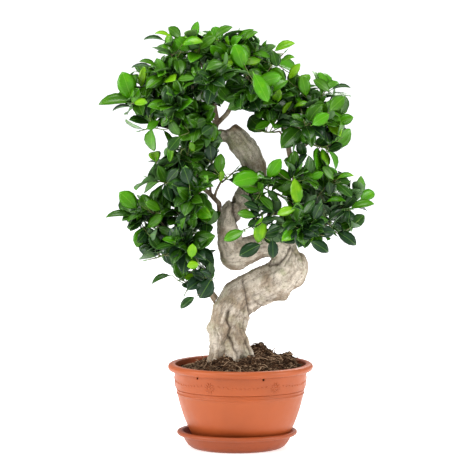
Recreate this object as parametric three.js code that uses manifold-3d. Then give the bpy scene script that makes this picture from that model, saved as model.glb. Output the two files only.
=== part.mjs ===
// A fig bonsai with an S-shaped trunk, planted in a round plastic bowl that stands on its saucer.
// Millimetres, +Z up, +Y away from the viewer. The origin is on the bowl's axis, on the surface that the saucer
// stands on.
import * as THREE from "three";
import { mergeVertices } from "three/addons/utils/BufferGeometryUtils.js";
import Module from "manifold-3d";

const wasm = await Module();
wasm.setup();

// ---- Driving dimensions ----

const fitGap = 0.3; // clearance wherever one piece touches another

const saucer = {
  clearance: 0.8, // room at the rim, where the bowl's side comes nearest
  height: 30.4,
  baseMargin: 10, // how much wider its flat base is than the bowl's foot, all round
  floor: 2.6,
  wall: 2.2,
  beadHeight: 7.4,
  beadWidth: 9.5,
  offset: -6, // the bowl isn't centred on its saucer
};

const bowl = {
  rimRadius: 125,
  height: 142.6, // from its foot to the top of its rim
  baseRadius: 62,
  wall: 2.4,
  floor: 3,
  beadHeight: 12.1,
  beadWidth: 10.2, // how far the rolled rim stands out from the band
  bandHeight: 32, // of the upright band under the rim
  footWidth: 12,
  footRise: 1.5,
  drainHoles: 6,
  drainRadius: 4.5,
  drainInset: 14, // from the inner edge of the foot to the drain holes' centres
  hangerHoles: 6,
  hangerRadius: 2,
  hangerTurn: -130, // degrees from +X to the first hanger hole
};

const soil = {
  below: 12, // from the rim down to the soil at the wall
  mound: 21, // how much higher it lies around the trunk
  moundReach: 46,
  heap: 28, // the loose heap behind and to the right of the trunk
  heapReach: 27,
  clod: 19, // the clod between that heap and the wall
  clodReach: 16,
};

const tree = {
  rise: 1, // scale of all heights above the rim
  spread: 1, // scale of all distances from the bowl's axis
  girth: 1, // scale of the trunk's and roots' radii
  twigRadius: 1.7, // of a woody twig where its leafy shoot begins
  budRadius: 0.35,
};

const leaf = {
  length: 46,
  width: 24,
  thickness: 1.8,
  perShoot: 7,
  clearance: 0.4, // room that a leaf leaves to whatever grew before it
};

const roundSides = 30; // of everything turned
const goldenAngle = THREE.MathUtils.degToRad(137.5);

// Heights in the frame, from the table upwards
const bowlFoot = saucer.floor + fitGap;
const rimTop = bowlFoot + bowl.height;

// ---- Colours ----

const finish = {
  terracotta: new THREE.MeshStandardMaterial({ color: 0xcf6f47, roughness: 0.5 }),
  soil: new THREE.MeshStandardMaterial({ color: 0x4a3222, roughness: 1 }),
  bark: new THREE.MeshStandardMaterial({ color: 0xb3a48c, roughness: 0.85 }),
  twig: new THREE.MeshStandardMaterial({ color: 0x76624a, roughness: 0.8 }),
  leaf: new THREE.MeshStandardMaterial({ color: 0x2f6b1e, roughness: 0.35 }),
};

// ---- Solids ----

function toSolid(geometry) {
  geometry.deleteAttribute("normal");
  geometry.deleteAttribute("uv");
  const merged = mergeVertices(geometry, 1e-4);
  return new wasm.Manifold(
    new wasm.Mesh({
      numProp: 3,
      vertProperties: new Float32Array(merged.attributes.position.array),
      triVerts: new Uint32Array(merged.index.array),
    }),
  );
}

function toMesh(name, solid, material) {
  const mesh = solid.getMesh();
  const corners = new Float32Array(mesh.numVert * 3);
  for (let i = 0; i < mesh.numVert; i++) {
    const first = i * mesh.numProp;
    corners.set(mesh.vertProperties.subarray(first, first + 3), i * 3);
  }
  const geometry = new THREE.BufferGeometry();
  geometry.setAttribute("position", new THREE.BufferAttribute(corners, 3));
  geometry.setIndex(new THREE.BufferAttribute(new Uint32Array(mesh.triVerts), 1));
  geometry.computeVertexNormals();
  const made = new THREE.Mesh(geometry, material);
  made.name = name;
  return made;
}

const joined = (solids) => solids.reduce((all, one) => all.add(one));

// Turns a profile of (radius, height) points round the Z axis.
function turned(profile) {
  return new THREE.LatheGeometry(profile, roundSides).rotateX(Math.PI / 2);
}

// A tapering tube through stations { at, radius }, with flat ends. grow makes it larger all round.
function tube(stations, sides, ringsPerSpan, grow = 0) {
  const spans = stations.length - 1;
  const rings = spans * ringsPerSpan;
  const curve = new THREE.CatmullRomCurve3(stations.map((s) => s.at), false, "centripetal");
  const radii = stations.map((s) => s.radius);

  const frames = [];
  const side = new THREE.Vector3(0.31, 0.93, 0.2);
  for (let i = 0; i <= rings; i++) {
    const share = i / rings;
    const along = curve.getTangent(share);
    side.addScaledVector(along, -side.dot(along)).normalize();
    const span = Math.min(Math.floor(share * spans), spans - 1);
    const radius = THREE.MathUtils.lerp(radii[span], radii[span + 1], share * spans - span);
    const centre = curve.getPoint(share);
    if (i === 0) centre.addScaledVector(along, -grow);
    if (i === rings) centre.addScaledVector(along, grow);
    frames.push({
      centre,
      radius: radius + grow,
      side: side.clone(),
      across: new THREE.Vector3().crossVectors(side, along),
    });
  }

  // A plain cylinder, its rings laid one by one along the curve
  const geometry = new THREE.CylinderGeometry(1, 1, 1, sides, rings);
  const corner = new THREE.Vector3();
  const corners = geometry.attributes.position;
  for (let i = 0; i < corners.count; i++) {
    corner.fromBufferAttribute(corners, i);
    const frame = frames[Math.round((corner.y + 0.5) * rings)];
    const placed = frame.centre
      .clone()
      .addScaledVector(frame.side, corner.x * frame.radius)
      .addScaledVector(frame.across, corner.z * frame.radius);
    corners.setXYZ(i, placed.x, placed.y, placed.z);
  }
  return toSolid(geometry);
}

// A swelling: a ball of its own three radii
function swelling(centre, [radiusX, radiusY, radiusZ], grow = 0) {
  const geometry = new THREE.SphereGeometry(1, 10, 7)
    .rotateX(Math.PI / 2)
    .scale(radiusX + grow, radiusY + grow, radiusZ + grow)
    .translate(centre.x, centre.y, centre.z);
  return toSolid(geometry);
}

// Repeatable chance, so that every build grows the same tree
function seededChance(seed) {
  let state = seed;
  return () => {
    state = (state * 1664525 + 1013904223) % 4294967296;
    return state / 4294967296;
  };
}

// ---- Bowl ----

const bandTop = bowl.height - bowl.beadHeight;
const bandFoot = bandTop - bowl.bandHeight;
const bandRadius = bowl.rimRadius - bowl.beadWidth; // outside of the band at its top
const sideRadius = bandRadius - 5.5; // outside of the curved side at its top
const ringProud = 1.2;

// The bowl's inner side from the floor up, (radius, height above its foot), pulled in by a clearance
function innerSide(clearance) {
  const inset = bowl.wall + clearance;
  const lift = bowl.floor + clearance;
  const side = new THREE.CubicBezierCurve(
    new THREE.Vector2(bowl.baseRadius - inset, lift),
    new THREE.Vector2(bowl.baseRadius + 18 - inset, lift + 4),
    new THREE.Vector2(sideRadius - 10 - inset, bandFoot * 0.5),
    new THREE.Vector2(sideRadius - inset, bandFoot),
  );
  return side.getPoints(4);
}

// The bowl's outer side from its foot to the band, (radius, height above its foot)
const outerSide = new THREE.CubicBezierCurve(
  new THREE.Vector2(bowl.baseRadius, 0),
  new THREE.Vector2(bowl.baseRadius + 18, 4),
  new THREE.Vector2(sideRadius - 10, bandFoot * 0.5),
  new THREE.Vector2(sideRadius, bandFoot),
);

// The first point of that side, in fine steps, that is as high as asked
const outerRadiusAt = (height) => outerSide.getPoints(100).find((p) => p.y >= height).x;

function bowlSolid() {
  const { rimRadius, height, baseRadius, wall, beadHeight, footWidth, footRise } = bowl;
  const beadRadius = beadHeight / 2;

  const outside = new THREE.Path();
  outside.moveTo(0, footRise);
  outside.lineTo(baseRadius - footWidth, footRise);
  outside.lineTo(baseRadius - footWidth, 0);
  outside.lineTo(baseRadius, 0);
  outside.curves.push(outerSide);
  outside.currentPoint.copy(outerSide.v3);
  // A thin raised ring, then the step out to the band
  outside.lineTo(sideRadius + ringProud, bandFoot + 1.5);
  outside.lineTo(sideRadius + ringProud, bandFoot + 4);
  outside.lineTo(sideRadius, bandFoot + 5.5);
  outside.lineTo(bandRadius - 3, bandFoot + 8);
  outside.lineTo(bandRadius, bandTop);
  outside.lineTo(rimRadius - beadRadius, bandTop);
  outside.absarc(rimRadius - beadRadius, height - beadRadius, beadRadius, -Math.PI / 2, Math.PI / 2, false);
  outside.lineTo(bandRadius - wall + 1, height);
  outside.lineTo(bandRadius - wall, height - 2);
  outside.lineTo(bandRadius - 3 - wall, bandFoot + 8);

  const profile = [...outside.getPoints(3), ...innerSide(0).reverse(), new THREE.Vector2(0, bowl.floor)];
  let made = toSolid(turned(profile).translate(0, 0, bowlFoot));

  const drainAngle = (2 * Math.PI) / bowl.drainHoles;
  for (let i = 0; i < bowl.drainHoles; i++) {
    const hole = new THREE.CylinderGeometry(bowl.drainRadius, bowl.drainRadius, 4 * bowl.floor, 10)
      .rotateX(Math.PI / 2)
      .translate(baseRadius - footWidth - bowl.drainInset, 0, bowlFoot + bowl.floor)
      .rotateZ(i * drainAngle);
    made = made.subtract(toSolid(hole));
  }

  const hangerAngle = (2 * Math.PI) / bowl.hangerHoles;
  for (let i = 0; i < bowl.hangerHoles; i++) {
    const hole = new THREE.CylinderGeometry(bowl.hangerRadius, bowl.hangerRadius, 6 * wall, 8)
      .rotateZ(Math.PI / 2)
      .translate(bandRadius - wall / 2, 0, bowlFoot + bandTop - bowl.hangerRadius - 0.5)
      .rotateZ(THREE.MathUtils.degToRad(bowl.hangerTurn) + i * hangerAngle);
    made = made.subtract(toSolid(hole));
  }
  return made;
}

// ---- Saucer ----

function saucerSolid() {
  const { clearance, height, baseMargin, floor, wall, beadHeight, beadWidth, offset } = saucer;
  const beadRadius = beadHeight / 2;
  const beadFoot = height - beadHeight;
  const baseRadius = bowl.baseRadius + baseMargin;
  // Outside of the wall, under the bead
  const neck = Math.max(outerRadiusAt(height - bowlFoot) + Math.abs(offset) + clearance, baseRadius + wall);
  const rimRadius = neck + beadWidth;
  const flare = neck - baseRadius;

  const outline = new THREE.Path();
  outline.moveTo(0, 0);
  outline.lineTo(baseRadius, 0);
  outline.bezierCurveTo(baseRadius + flare * 0.5, 0.5, neck - flare * 0.2, beadFoot * 0.5, neck, beadFoot);
  outline.lineTo(rimRadius - beadRadius, beadFoot);
  outline.absarc(rimRadius - beadRadius, height - beadRadius, beadRadius, -Math.PI / 2, Math.PI / 2, false);
  outline.lineTo(neck, height);
  outline.lineTo(neck - wall, beadFoot + 2);
  outline.bezierCurveTo(
    neck - flare * 0.2 - wall, beadFoot * 0.5 + 1.5,
    baseRadius + flare * 0.5 - wall, floor + 0.5,
    baseRadius - wall, floor,
  );
  outline.lineTo(0, floor);
  return toSolid(turned(outline.getPoints(3)));
}

// ---- Tree: its points are (x, y, height above the bowl's rim) ----

const onTree = ([x, y, z]) => new THREE.Vector3(x * tree.spread, y * tree.spread, rimTop + z * tree.rise);
const stationsOf = (route, girth) => route.map(([x, y, z, r]) => ({ at: onTree([x, y, z]), radius: r * girth }));

// The trunk's stretches, each a list of (x, y, z, radius), which overlap where the trunk folds back on itself
const trunkStretches = {
  bole: [
    [-20, 0, -24, 33], [-21, 0, 8, 33], [-22, 0, 36, 32], [-22, 0, 62, 31.5], [-16, 0, 89, 33.5],
    [-2, 0, 113, 34.5], [25, -2, 128, 33], [55, -3, 141, 33.5], [80, -2, 159, 33],
  ],
  neck: [[80, 0, 172, 29], [73, 0, 197, 25], [56, 0, 206, 23.5], [35, 0, 202, 21.5], [10, -2, 193, 23.5], [-10, -4, 190, 25]],
  column: [[-10, -4, 190, 24], [-19, -5, 212, 22], [-20, -6, 240, 21], [-16, -5, 262, 18.5], [-8, -3, 276, 13]],
  shaft: [
    [-8, 5, 258, 15], [3, 6, 279, 18.5], [17, 5, 298, 19.5], [25, 3, 319, 20.5], [23, 2, 339, 20.5],
    [14, 0, 361, 20.5], [1, 0, 378, 21], [-10, 0, 391, 19], [-19, 0, 403, 13.5],
  ],
};

// Roots that flare from the trunk's foot into the soil
const roots = [
  [[-30, -6, 66, 21], [-34, -12, 30, 21], [-40, -18, 0, 19], [-46, -26, -24, 16]],
  [[-6, -8, 88, 18], [-3, -14, 52, 14], [7, -17, 27, 12.5], [19, -20, 6, 11], [30, -24, -18, 9]],
  [[-14, -16, 48, 13], [-9, -30, 16, 10], [-6, -40, -16, 8]],
  [[-30, 12, 52, 17], [-40, 30, 14, 14], [-50, 44, -20, 11]],
  [[-8, 14, 58, 17], [6, 32, 16, 13], [18, 46, -20, 10]],
];

const swellings = [
  { at: [82, 0, 164], radii: [34, 33, 37] }, // the right-hand bend
  { at: [-8, -4, 187], radii: [28, 26, 28] }, // the left-hand bend
  { at: [-51, -5, 61], radii: [8, 9, 10] }, // a healed branch stub
  { at: [-32, 0, 390], radii: [11, 11, 11] }, // collar of the crown branch
];

function trunkSolid(grow = 0) {
  const { girth } = tree;
  return joined([
    ...Object.values(trunkStretches).map((route) => tube(stationsOf(route, girth), 12, 1, grow)),
    ...roots.map((route) => tube(stationsOf(route, girth), 7, 1, grow)),
    ...swellings.map((s) => swelling(onTree(s.at), s.radii.map((r) => r * girth), grow)),
  ]);
}

// ---- Soil ----

function soilHeight(x, y) {
  const bump = (height, reach, centreX, centreY) =>
    height * Math.exp(-((x - centreX) ** 2 + (y - centreY) ** 2) / (reach * reach));
  const edge = Math.min(1, (bandRadius - Math.hypot(x, y)) / 22); // it falls away to the wall
  const raised =
    bump(soil.mound, soil.moundReach, -15, 0) +
    bump(soil.heap, soil.heapReach, 34, 20) +
    bump(soil.clod, soil.clodReach, 78, 0);
  return raised * Math.max(0, edge);
}

function soilSolid(cutter) {
  const top = rimTop - soil.below;
  const inside = innerSide(fitGap).map((p) => new THREE.Vector2(p.x, p.y + bowlFoot));
  const topRadius = bandRadius - 3 - bowl.wall - fitGap;
  const rings = 8;
  const profile = [new THREE.Vector2(0, inside[0].y), ...inside, new THREE.Vector2(topRadius, top)];
  for (let i = rings - 1; i >= 0; i--) profile.push(new THREE.Vector2((topRadius * i) / rings, top));

  const geometry = turned(profile);
  const corners = geometry.attributes.position;
  for (let i = 0; i < corners.count; i++) {
    const x = corners.getX(i);
    const y = corners.getY(i);
    const z = corners.getZ(i);
    if (z > top - 0.01) corners.setZ(i, z + soilHeight(x, y));
  }
  return toSolid(geometry).subtract(cutter);
}

// ---- Branches ----
// limbs: woody routes of (x, y, z, radius), each starting inside the trunk or inside an earlier limb.
// shoots: the limb it grows from, how far along it, where its woody twig ends, and where its leafy tip is.

const branches = {
  crown: {
    limbs: {
      left: [
        [-33, 0, 390, 6.6], [-49, -3, 387, 6.5], [-69, -6, 386, 6], [-96, -10, 394, 5.2],
        [-120, -12, 415, 4.4], [-138, -14, 431, 3.6],
      ],
      top: [
        [-51, -3, 386, 5.4], [-44, -1, 400, 5], [-40, 0, 415, 4.6], [-43, -2, 432, 4.2],
        [-47, -3, 456, 3.8], [-48, -4, 473, 3.2],
      ],
      right: [[-41, 0, 410, 4.2], [-24, 2, 427, 4], [-8, 3, 452, 3.8], [8, 4, 473, 3.4], [24, 5, 487, 3]],
    },
    shoots: {
      far_left: { limb: "left", along: 1, base: [-158, -18, 438], tip: [-200, -20, 456] },
      low_left: { limb: "left", along: 0.85, base: [-143, -22, 411], tip: [-168, -32, 402] },
      hanging_left: { limb: "left", along: 0.5, base: [-98, -20, 373], tip: [-108, -30, 347] },
      left_up: { limb: "left", along: 0.95, base: [-135, -5, 452], tip: [-156, 0, 488] },
      left_back: { limb: "left", along: 0.75, base: [-113, 40, 448], tip: [-140, 86, 466] },
      left_front: { limb: "left", along: 0.65, base: [-105, -42, 430], tip: [-118, -82, 448] },
      top_left: { limb: "top", along: 0.8, base: [-102, -15, 508], tip: [-124, -20, 540] },
      top_left_inner: { limb: "top", along: 1, base: [-68, -8, 515], tip: [-82, -10, 554] },
      top_middle: { limb: "top", along: 1, base: [-40, 0, 512], tip: [-36, 0, 552] },
      top_left_low: { limb: "top", along: 0.75, base: [-92, -15, 478], tip: [-128, -25, 500] },
      top_front: { limb: "top", along: 0.6, base: [-45, -48, 480], tip: [-48, -94, 498] },
      top_front_left: { limb: "top", along: 0.45, base: [-74, -35, 450], tip: [-98, -70, 465] },
      top_back: { limb: "top", along: 0.7, base: [-52, 60, 488], tip: [-60, 106, 505] },
      low_front: { limb: "top", along: 0.3, base: [-60, -30, 428], tip: [-70, -62, 414] },
      right_tip: { limb: "right", along: 1, base: [46, 0, 508], tip: [74, -5, 532] },
      right_up: { limb: "right", along: 0.85, base: [18, -8, 515], tip: [28, -12, 548] },
      right_inner: { limb: "right", along: 0.55, base: [-8, -14, 510], tip: [-4, -26, 548] },
      right_front: { limb: "right", along: 0.75, base: [14, -44, 490], tip: [30, -84, 484] },
      right_low: { limb: "right", along: 0.5, base: [16, -15, 455], tip: [46, -28, 443] },
      right_back: { limb: "right", along: 0.8, base: [24, 52, 492], tip: [44, 96, 508] },
    },
  },
  upper_right: {
    limbs: {
      stem: [[84, 6, 200, 7], [94, 6, 250, 6], [98, 5, 284, 5.5], [90, 2, 332, 5], [82, 0, 367, 4.6], [82, 0, 388, 4]],
    },
    shoots: {
      left_tip: { limb: "stem", along: 1, base: [66, -5, 418], tip: [46, -15, 450] },
      top_tip: { limb: "stem", along: 1, base: [90, 0, 428], tip: [102, 0, 470] },
      right_up: { limb: "stem", along: 0.95, base: [118, 2, 436], tip: [146, 5, 468] },
      right_tip: { limb: "stem", along: 0.9, base: [133, -10, 412], tip: [170, -20, 428] },
      front_tip: { limb: "stem", along: 0.85, base: [101, -35, 406], tip: [118, -70, 420] },
      low_left: { limb: "stem", along: 0.8, base: [58, -18, 398], tip: [30, -28, 402] },
      low_right: { limb: "stem", along: 0.7, base: [125, -8, 375], tip: [162, -15, 370] },
      back_tip: { limb: "stem", along: 0.85, base: [98, 50, 406], tip: [110, 96, 422] },
    },
  },
  lower_right: {
    limbs: {
      stem: [[72, -12, 205, 6], [84, -30, 235, 5], [97, -36, 257, 4.6], [104, -38, 275, 4]],
    },
    shoots: {
      left_up: { limb: "stem", along: 0.9, base: [54, -45, 298], tip: [22, -58, 320] },
      top_tip: { limb: "stem", along: 1, base: [88, -48, 300], tip: [90, -62, 336] },
      right_up: { limb: "stem", along: 1, base: [132, -28, 290], tip: [156, -28, 325] },
      right_tip: { limb: "stem", along: 0.9, base: [160, -25, 268], tip: [204, -25, 282] },
      low_right: { limb: "stem", along: 0.8, base: [140, -38, 245], tip: [180, -45, 220] },
      front_left: { limb: "stem", along: 0.7, base: [42, -52, 255], tip: [8, -74, 238] },
      front_tip: { limb: "stem", along: 0.8, base: [98, -68, 250], tip: [108, -98, 240] },
      back_tip: { limb: "stem", along: 0.8, base: [124, 32, 268], tip: [152, 78, 280] },
    },
  },
  middle_left: {
    limbs: {
      stem: [[-34, -4, 253, 5], [-37, -8, 276, 4.5], [-52, -12, 292, 4], [-69, -13, 306, 3.6], [-95, -15, 313, 3]],
    },
    shoots: {
      left_tip: { limb: "stem", along: 1, base: [-123, -17, 312], tip: [-156, -20, 320] },
      top_tip: { limb: "stem", along: 0.8, base: [-80, -20, 336], tip: [-92, -25, 364] },
      top_right: { limb: "stem", along: 0.5, base: [-50, -16, 332], tip: [-46, -22, 364] },
      right_tip: { limb: "stem", along: 0.4, base: [-28, -24, 316], tip: [-8, -30, 335] },
      front_tip: { limb: "stem", along: 0.7, base: [-69, -42, 298], tip: [-84, -76, 290] },
      back_tip: { limb: "stem", along: 0.8, base: [-90, 32, 312], tip: [-116, 78, 318] },
    },
  },
  lower_left: {
    limbs: {
      stem: [
        [-33, 0, 96, 8], [-53, -3, 125, 6], [-56, -5, 147, 5.4], [-76, -10, 176, 4.8],
        [-98, -13, 200, 4], [-118, -15, 222, 3.4],
      ],
    },
    shoots: {
      far_left: { limb: "stem", along: 1, base: [-158, -20, 246], tip: [-196, -25, 264] },
      left_up: { limb: "stem", along: 1, base: [-135, -25, 245], tip: [-148, -35, 276] },
      top_tip: { limb: "stem", along: 0.9, base: [-98, -15, 240], tip: [-103, -25, 272] },
      right_up: { limb: "stem", along: 0.8, base: [-70, -12, 214], tip: [-54, -16, 244] },
      front_tip: { limb: "stem", along: 0.75, base: [-90, -45, 200], tip: [-82, -80, 205] },
      low_left: { limb: "stem", along: 0.7, base: [-126, -17, 190], tip: [-158, -20, 180] },
      hanging: { limb: "stem", along: 0.5, base: [-82, -18, 152], tip: [-94, -32, 124] },
      low_front: { limb: "stem", along: 0.55, base: [-62, -34, 160], tip: [-58, -62, 140] },
      back_tip: { limb: "stem", along: 0.8, base: [-106, 36, 202], tip: [-130, 84, 200] },
    },
  },
};

// A shoot's axis, in straight stretches: it leaves its twig a little low and turns up to its tip.
function shootAxis(shoot) {
  const base = onTree(shoot.base);
  const tip = onTree(shoot.tip);
  const reach = base.distanceTo(tip);
  const heading = tip.clone().sub(base);
  heading.z -= 0.25 * reach;
  heading.normalize();
  const start = base.clone().addScaledVector(heading, fitGap);
  const middle = start.clone().addScaledVector(heading, reach * 0.5);
  return { base, heading, joints: new THREE.QuadraticBezierCurve3(start, middle, tip).getPoints(2) };
}

// The place at a share of that axis, and the way it runs there
function onAxis({ joints }, share) {
  const spans = joints.length - 1;
  const span = Math.min(Math.floor(share * spans), spans - 1);
  return {
    at: joints[span].clone().lerp(joints[span + 1], share * spans - span),
    stemWay: joints[span + 1].clone().sub(joints[span]).normalize(),
  };
}

function twigSolid(limb, shoot) {
  const curve = new THREE.CatmullRomCurve3(limb.map((s) => s.at), false, "centripetal");
  const root = curve.getPoint(0.97 * shoot.along);
  const { base, heading } = shootAxis(shoot);
  const reach = root.distanceTo(base);
  const lead = base.clone().addScaledVector(heading, -reach * 0.35);
  const route = new THREE.CubicBezierCurve3(root, root.clone().lerp(lead, 0.5), lead, base);
  const spans = 3;
  const stations = route.getPoints(spans).map((at, i) => ({
    at,
    radius: THREE.MathUtils.lerp(tree.twigRadius * 1.5, tree.twigRadius, i / spans),
  }));
  // The last stretch runs straight, so that the twig ends square to its shoot
  stations[spans - 1].at = base.clone().addScaledVector(heading, -reach * 0.2);
  return tube(stations, 4, 1);
}

function branchSolid(branch, trunkCutter) {
  const limbs = Object.values(branch.limbs).map((route) => tube(stationsOf(route, 1), 6, 1));
  const twigs = Object.values(branch.shoots).map((shoot) => twigSolid(stationsOf(branch.limbs[shoot.limb], 1), shoot));
  return joined([...limbs, ...twigs]).subtract(trunkCutter);
}

// ---- Leafy shoots ----

function stemSolid(axis) {
  const radii = [tree.twigRadius, tree.twigRadius * 0.8, tree.budRadius];
  return tube(axis.joints.map((at, i) => ({ at, radius: radii[i] })), 4, 1);
}

// A leaf, slightly arched: its foot inside the stem, two three-cornered sections (left edge, right edge, keel),
// and its tip. pose: { at, along, up } is the foot, the way to the tip, and the way that the upper side faces.
function leafSolid(pose, length, width, grow = 0) {
  const section = (x, half, z) => [
    [x, half + grow, z + grow],
    [x, -half - grow, z + grow],
    [x, 0, z - leaf.thickness - grow],
  ];
  const corners = [
    [-grow, 0, 0],
    ...section(0.44 * length, 0.5 * width, 0.06 * length),
    ...section(0.76 * length, 0.4 * width, 0.05 * length),
    [length + grow, 0, -0.04 * length],
  ];
  const faces = [];
  for (let i = 0; i < 3; i++) {
    const a = 1 + i;
    const b = 1 + ((i + 1) % 3);
    faces.push([0, b, a], [a, b, b + 3], [a, b + 3, a + 3], [a + 3, b + 3, 7]);
  }

  const across = new THREE.Vector3().crossVectors(pose.up, pose.along);
  const placing = new THREE.Matrix4().makeBasis(pose.along, across, pose.up).setPosition(pose.at);
  const geometry = new THREE.BufferGeometry();
  geometry.setAttribute("position", new THREE.Float32BufferAttribute(corners.flat(), 3));
  geometry.setIndex(faces.flat());
  geometry.applyMatrix4(placing);
  return toSolid(geometry);
}

// How a leaf stands at one point of its shoot: it spirals round the stem, opens less towards the tip,
// and turns its face to the light.
function leafPose(axis, share, turn, opening) {
  const { at, stemWay } = onAxis(axis, share);
  const side = new THREE.Vector3(0, 0, 1).cross(stemWay);
  if (side.length() < 0.1) side.set(1, 0, 0);
  side.normalize();
  const outward = side.applyAxisAngle(stemWay, turn);
  const along = stemWay
    .clone()
    .multiplyScalar(Math.cos(opening))
    .addScaledVector(outward, Math.sin(opening));
  const facing = stemWay
    .clone()
    .multiplyScalar(Math.sin(opening))
    .addScaledVector(outward, -Math.cos(opening));
  const light = new THREE.Vector3(0, -0.25, 0.85);
  const up = facing.add(light).addScaledVector(along, -light.dot(along)).normalize();
  up.addScaledVector(along, -up.dot(along)).normalize();
  return { at, along, up };
}

const touches = (box, other) =>
  box.min[0] <= other.max[0] && box.max[0] >= other.min[0] &&
  box.min[1] <= other.max[1] && box.max[1] >= other.min[1] &&
  box.min[2] <= other.max[2] && box.max[2] >= other.min[2];

// Leaves grow only where nothing else has grown: each one is tried a little more open or closed until it is clear.
function growLeaves(axis, ownStem, standing, chance) {
  const grown = [];
  const firstTurn = chance() * 2 * Math.PI;
  for (let i = 0; i < leaf.perShoot; i++) {
    const share = 0.14 + (0.8 * i) / (leaf.perShoot - 1);
    const size = (0.82 + 0.32 * chance()) * (share > 0.8 ? 0.78 : 1);
    const opening = THREE.MathUtils.degToRad(THREE.MathUtils.lerp(78, 24, share) + 12 * (chance() - 0.5));
    const turn = firstTurn + i * goldenAngle + 0.4 * (chance() - 0.5);
    for (const nudge of [0, 0.25, -0.25, 0.5, -0.5]) {
      const pose = leafPose(axis, share, turn + nudge, opening - nudge * 0.5);
      const room = leafSolid(pose, leaf.length * size, leaf.width * size, leaf.clearance);
      const box = room.boundingBox();
      const blocked = standing.some(
        (s) => s.solid !== ownStem && touches(box, s.box) && !room.intersect(s.solid).isEmpty(),
      );
      if (blocked) continue;
      const solid = leafSolid(pose, leaf.length * size, leaf.width * size);
      grown.push(solid);
      standing.push({ solid, box: solid.boundingBox() });
      break;
    }
  }
  return grown;
}

// ---- Assembly ----

const group = new THREE.Group();
const standing = []; // every solid that a leaf has to stay clear of
function place(name, solid, material) {
  group.add(toMesh(name, solid, material));
  standing.push({ solid, box: solid.boundingBox() });
}

const trunkCutter = trunkSolid(fitGap);
const saucerMesh = toMesh("saucer", saucerSolid(), finish.terracotta);
saucerMesh.position.x = saucer.offset;
group.add(saucerMesh);
place("bowl", bowlSolid(), finish.terracotta);
place("soil", soilSolid(trunkCutter), finish.soil);
place("trunk", trunkSolid(), finish.bark);

const stems = [];
for (const [branchName, branch] of Object.entries(branches)) {
  place(`branch_${branchName}`, branchSolid(branch, trunkCutter), finish.twig);
  for (const [shootName, shoot] of Object.entries(branch.shoots)) {
    const axis = shootAxis(shoot);
    const solid = stemSolid(axis);
    stems.push({ name: `leaves_${branchName}_${shootName}`, axis, solid });
    standing.push({ solid, box: solid.boundingBox() });
  }
}

stems.forEach((stem, i) => {
  const leaves = growLeaves(stem.axis, stem.solid, standing, seededChance(101 + 37 * i));
  group.add(toMesh(stem.name, joined([stem.solid, ...leaves]), finish.leaf));
});

export default group;
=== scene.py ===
import math
import random

import bmesh
import bpy
from mathutils import Euler, Matrix, Vector, kdtree, noise


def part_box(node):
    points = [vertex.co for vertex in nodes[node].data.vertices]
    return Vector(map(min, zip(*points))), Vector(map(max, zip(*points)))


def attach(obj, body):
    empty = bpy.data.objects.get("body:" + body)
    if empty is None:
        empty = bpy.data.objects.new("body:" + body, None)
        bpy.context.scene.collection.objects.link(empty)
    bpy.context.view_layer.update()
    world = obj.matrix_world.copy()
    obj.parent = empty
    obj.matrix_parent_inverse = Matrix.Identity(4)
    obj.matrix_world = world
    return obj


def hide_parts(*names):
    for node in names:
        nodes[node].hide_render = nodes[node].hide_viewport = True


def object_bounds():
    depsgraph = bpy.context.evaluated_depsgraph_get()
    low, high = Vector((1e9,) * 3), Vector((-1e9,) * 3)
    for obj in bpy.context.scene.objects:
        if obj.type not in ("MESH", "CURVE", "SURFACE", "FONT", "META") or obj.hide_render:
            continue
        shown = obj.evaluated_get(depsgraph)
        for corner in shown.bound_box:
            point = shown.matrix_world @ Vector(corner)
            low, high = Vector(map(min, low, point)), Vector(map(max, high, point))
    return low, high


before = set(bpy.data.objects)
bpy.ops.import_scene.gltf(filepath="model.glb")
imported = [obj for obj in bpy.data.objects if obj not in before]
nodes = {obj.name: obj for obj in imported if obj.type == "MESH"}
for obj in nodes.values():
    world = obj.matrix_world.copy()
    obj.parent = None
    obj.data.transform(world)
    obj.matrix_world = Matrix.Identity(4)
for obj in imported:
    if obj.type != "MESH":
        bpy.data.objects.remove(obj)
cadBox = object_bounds()
body = "root"  # nothing on the plant moves on its own
mm = 0.001


# the studio

studio = {
    "distance": 8.0,
    "elevation": 6.0,
    "frameWidth": 0.8096,  # metres across the frame, at the tree
    "target": (-0.006, 0.0, 0.3624),
    "floorSize": 120.0,
    "floorColour": (0.93, 0.93, 0.93, 1.0),
    "floorGlow": 0.42,  # the floor shines a little by itself, so it stays white far from the lamps
    "floorRoughness": 0.9,
    "floorSpecular": 0.1,
    "skyColour": (0.95, 0.97, 1.0, 1.0),
    "skyStrength": 0.6,
    "look": "Medium High Contrast",
    "exposure": 0.0,
    "lightsAim": (0.0, 0.0, 0.34),
    # name: (azimuth, height, distance, size, watts)
    "lights": {
        "leftSoftbox": (-66, 1.2, 2.4, 1.4, 42),
        "rightSoftbox": (68, 1.0, 2.4, 1.3, 34),
        "topSoftbox": (-20, 2.8, 1.1, 1.3, 40),
        "backSoftbox": (160, 2.0, 2.4, 1.2, 26),
    },
}


def makeCamera():
    tilt = math.radians(studio["elevation"])
    target = Vector(studio["target"])
    back = Vector((0.0, -math.cos(tilt), math.sin(tilt)))
    data = bpy.data.cameras.new("camera")
    data.sensor_width = 36.0
    data.lens = data.sensor_width * studio["distance"] / studio["frameWidth"]
    data.clip_end = 200.0
    camera = bpy.data.objects.new("camera", data)
    camera.location = target + back * studio["distance"]
    camera.rotation_mode = "QUATERNION"
    camera.rotation_quaternion = (-back).to_track_quat("-Z", "Y")
    bpy.context.scene.collection.objects.link(camera)
    bpy.context.scene.camera = camera


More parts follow.
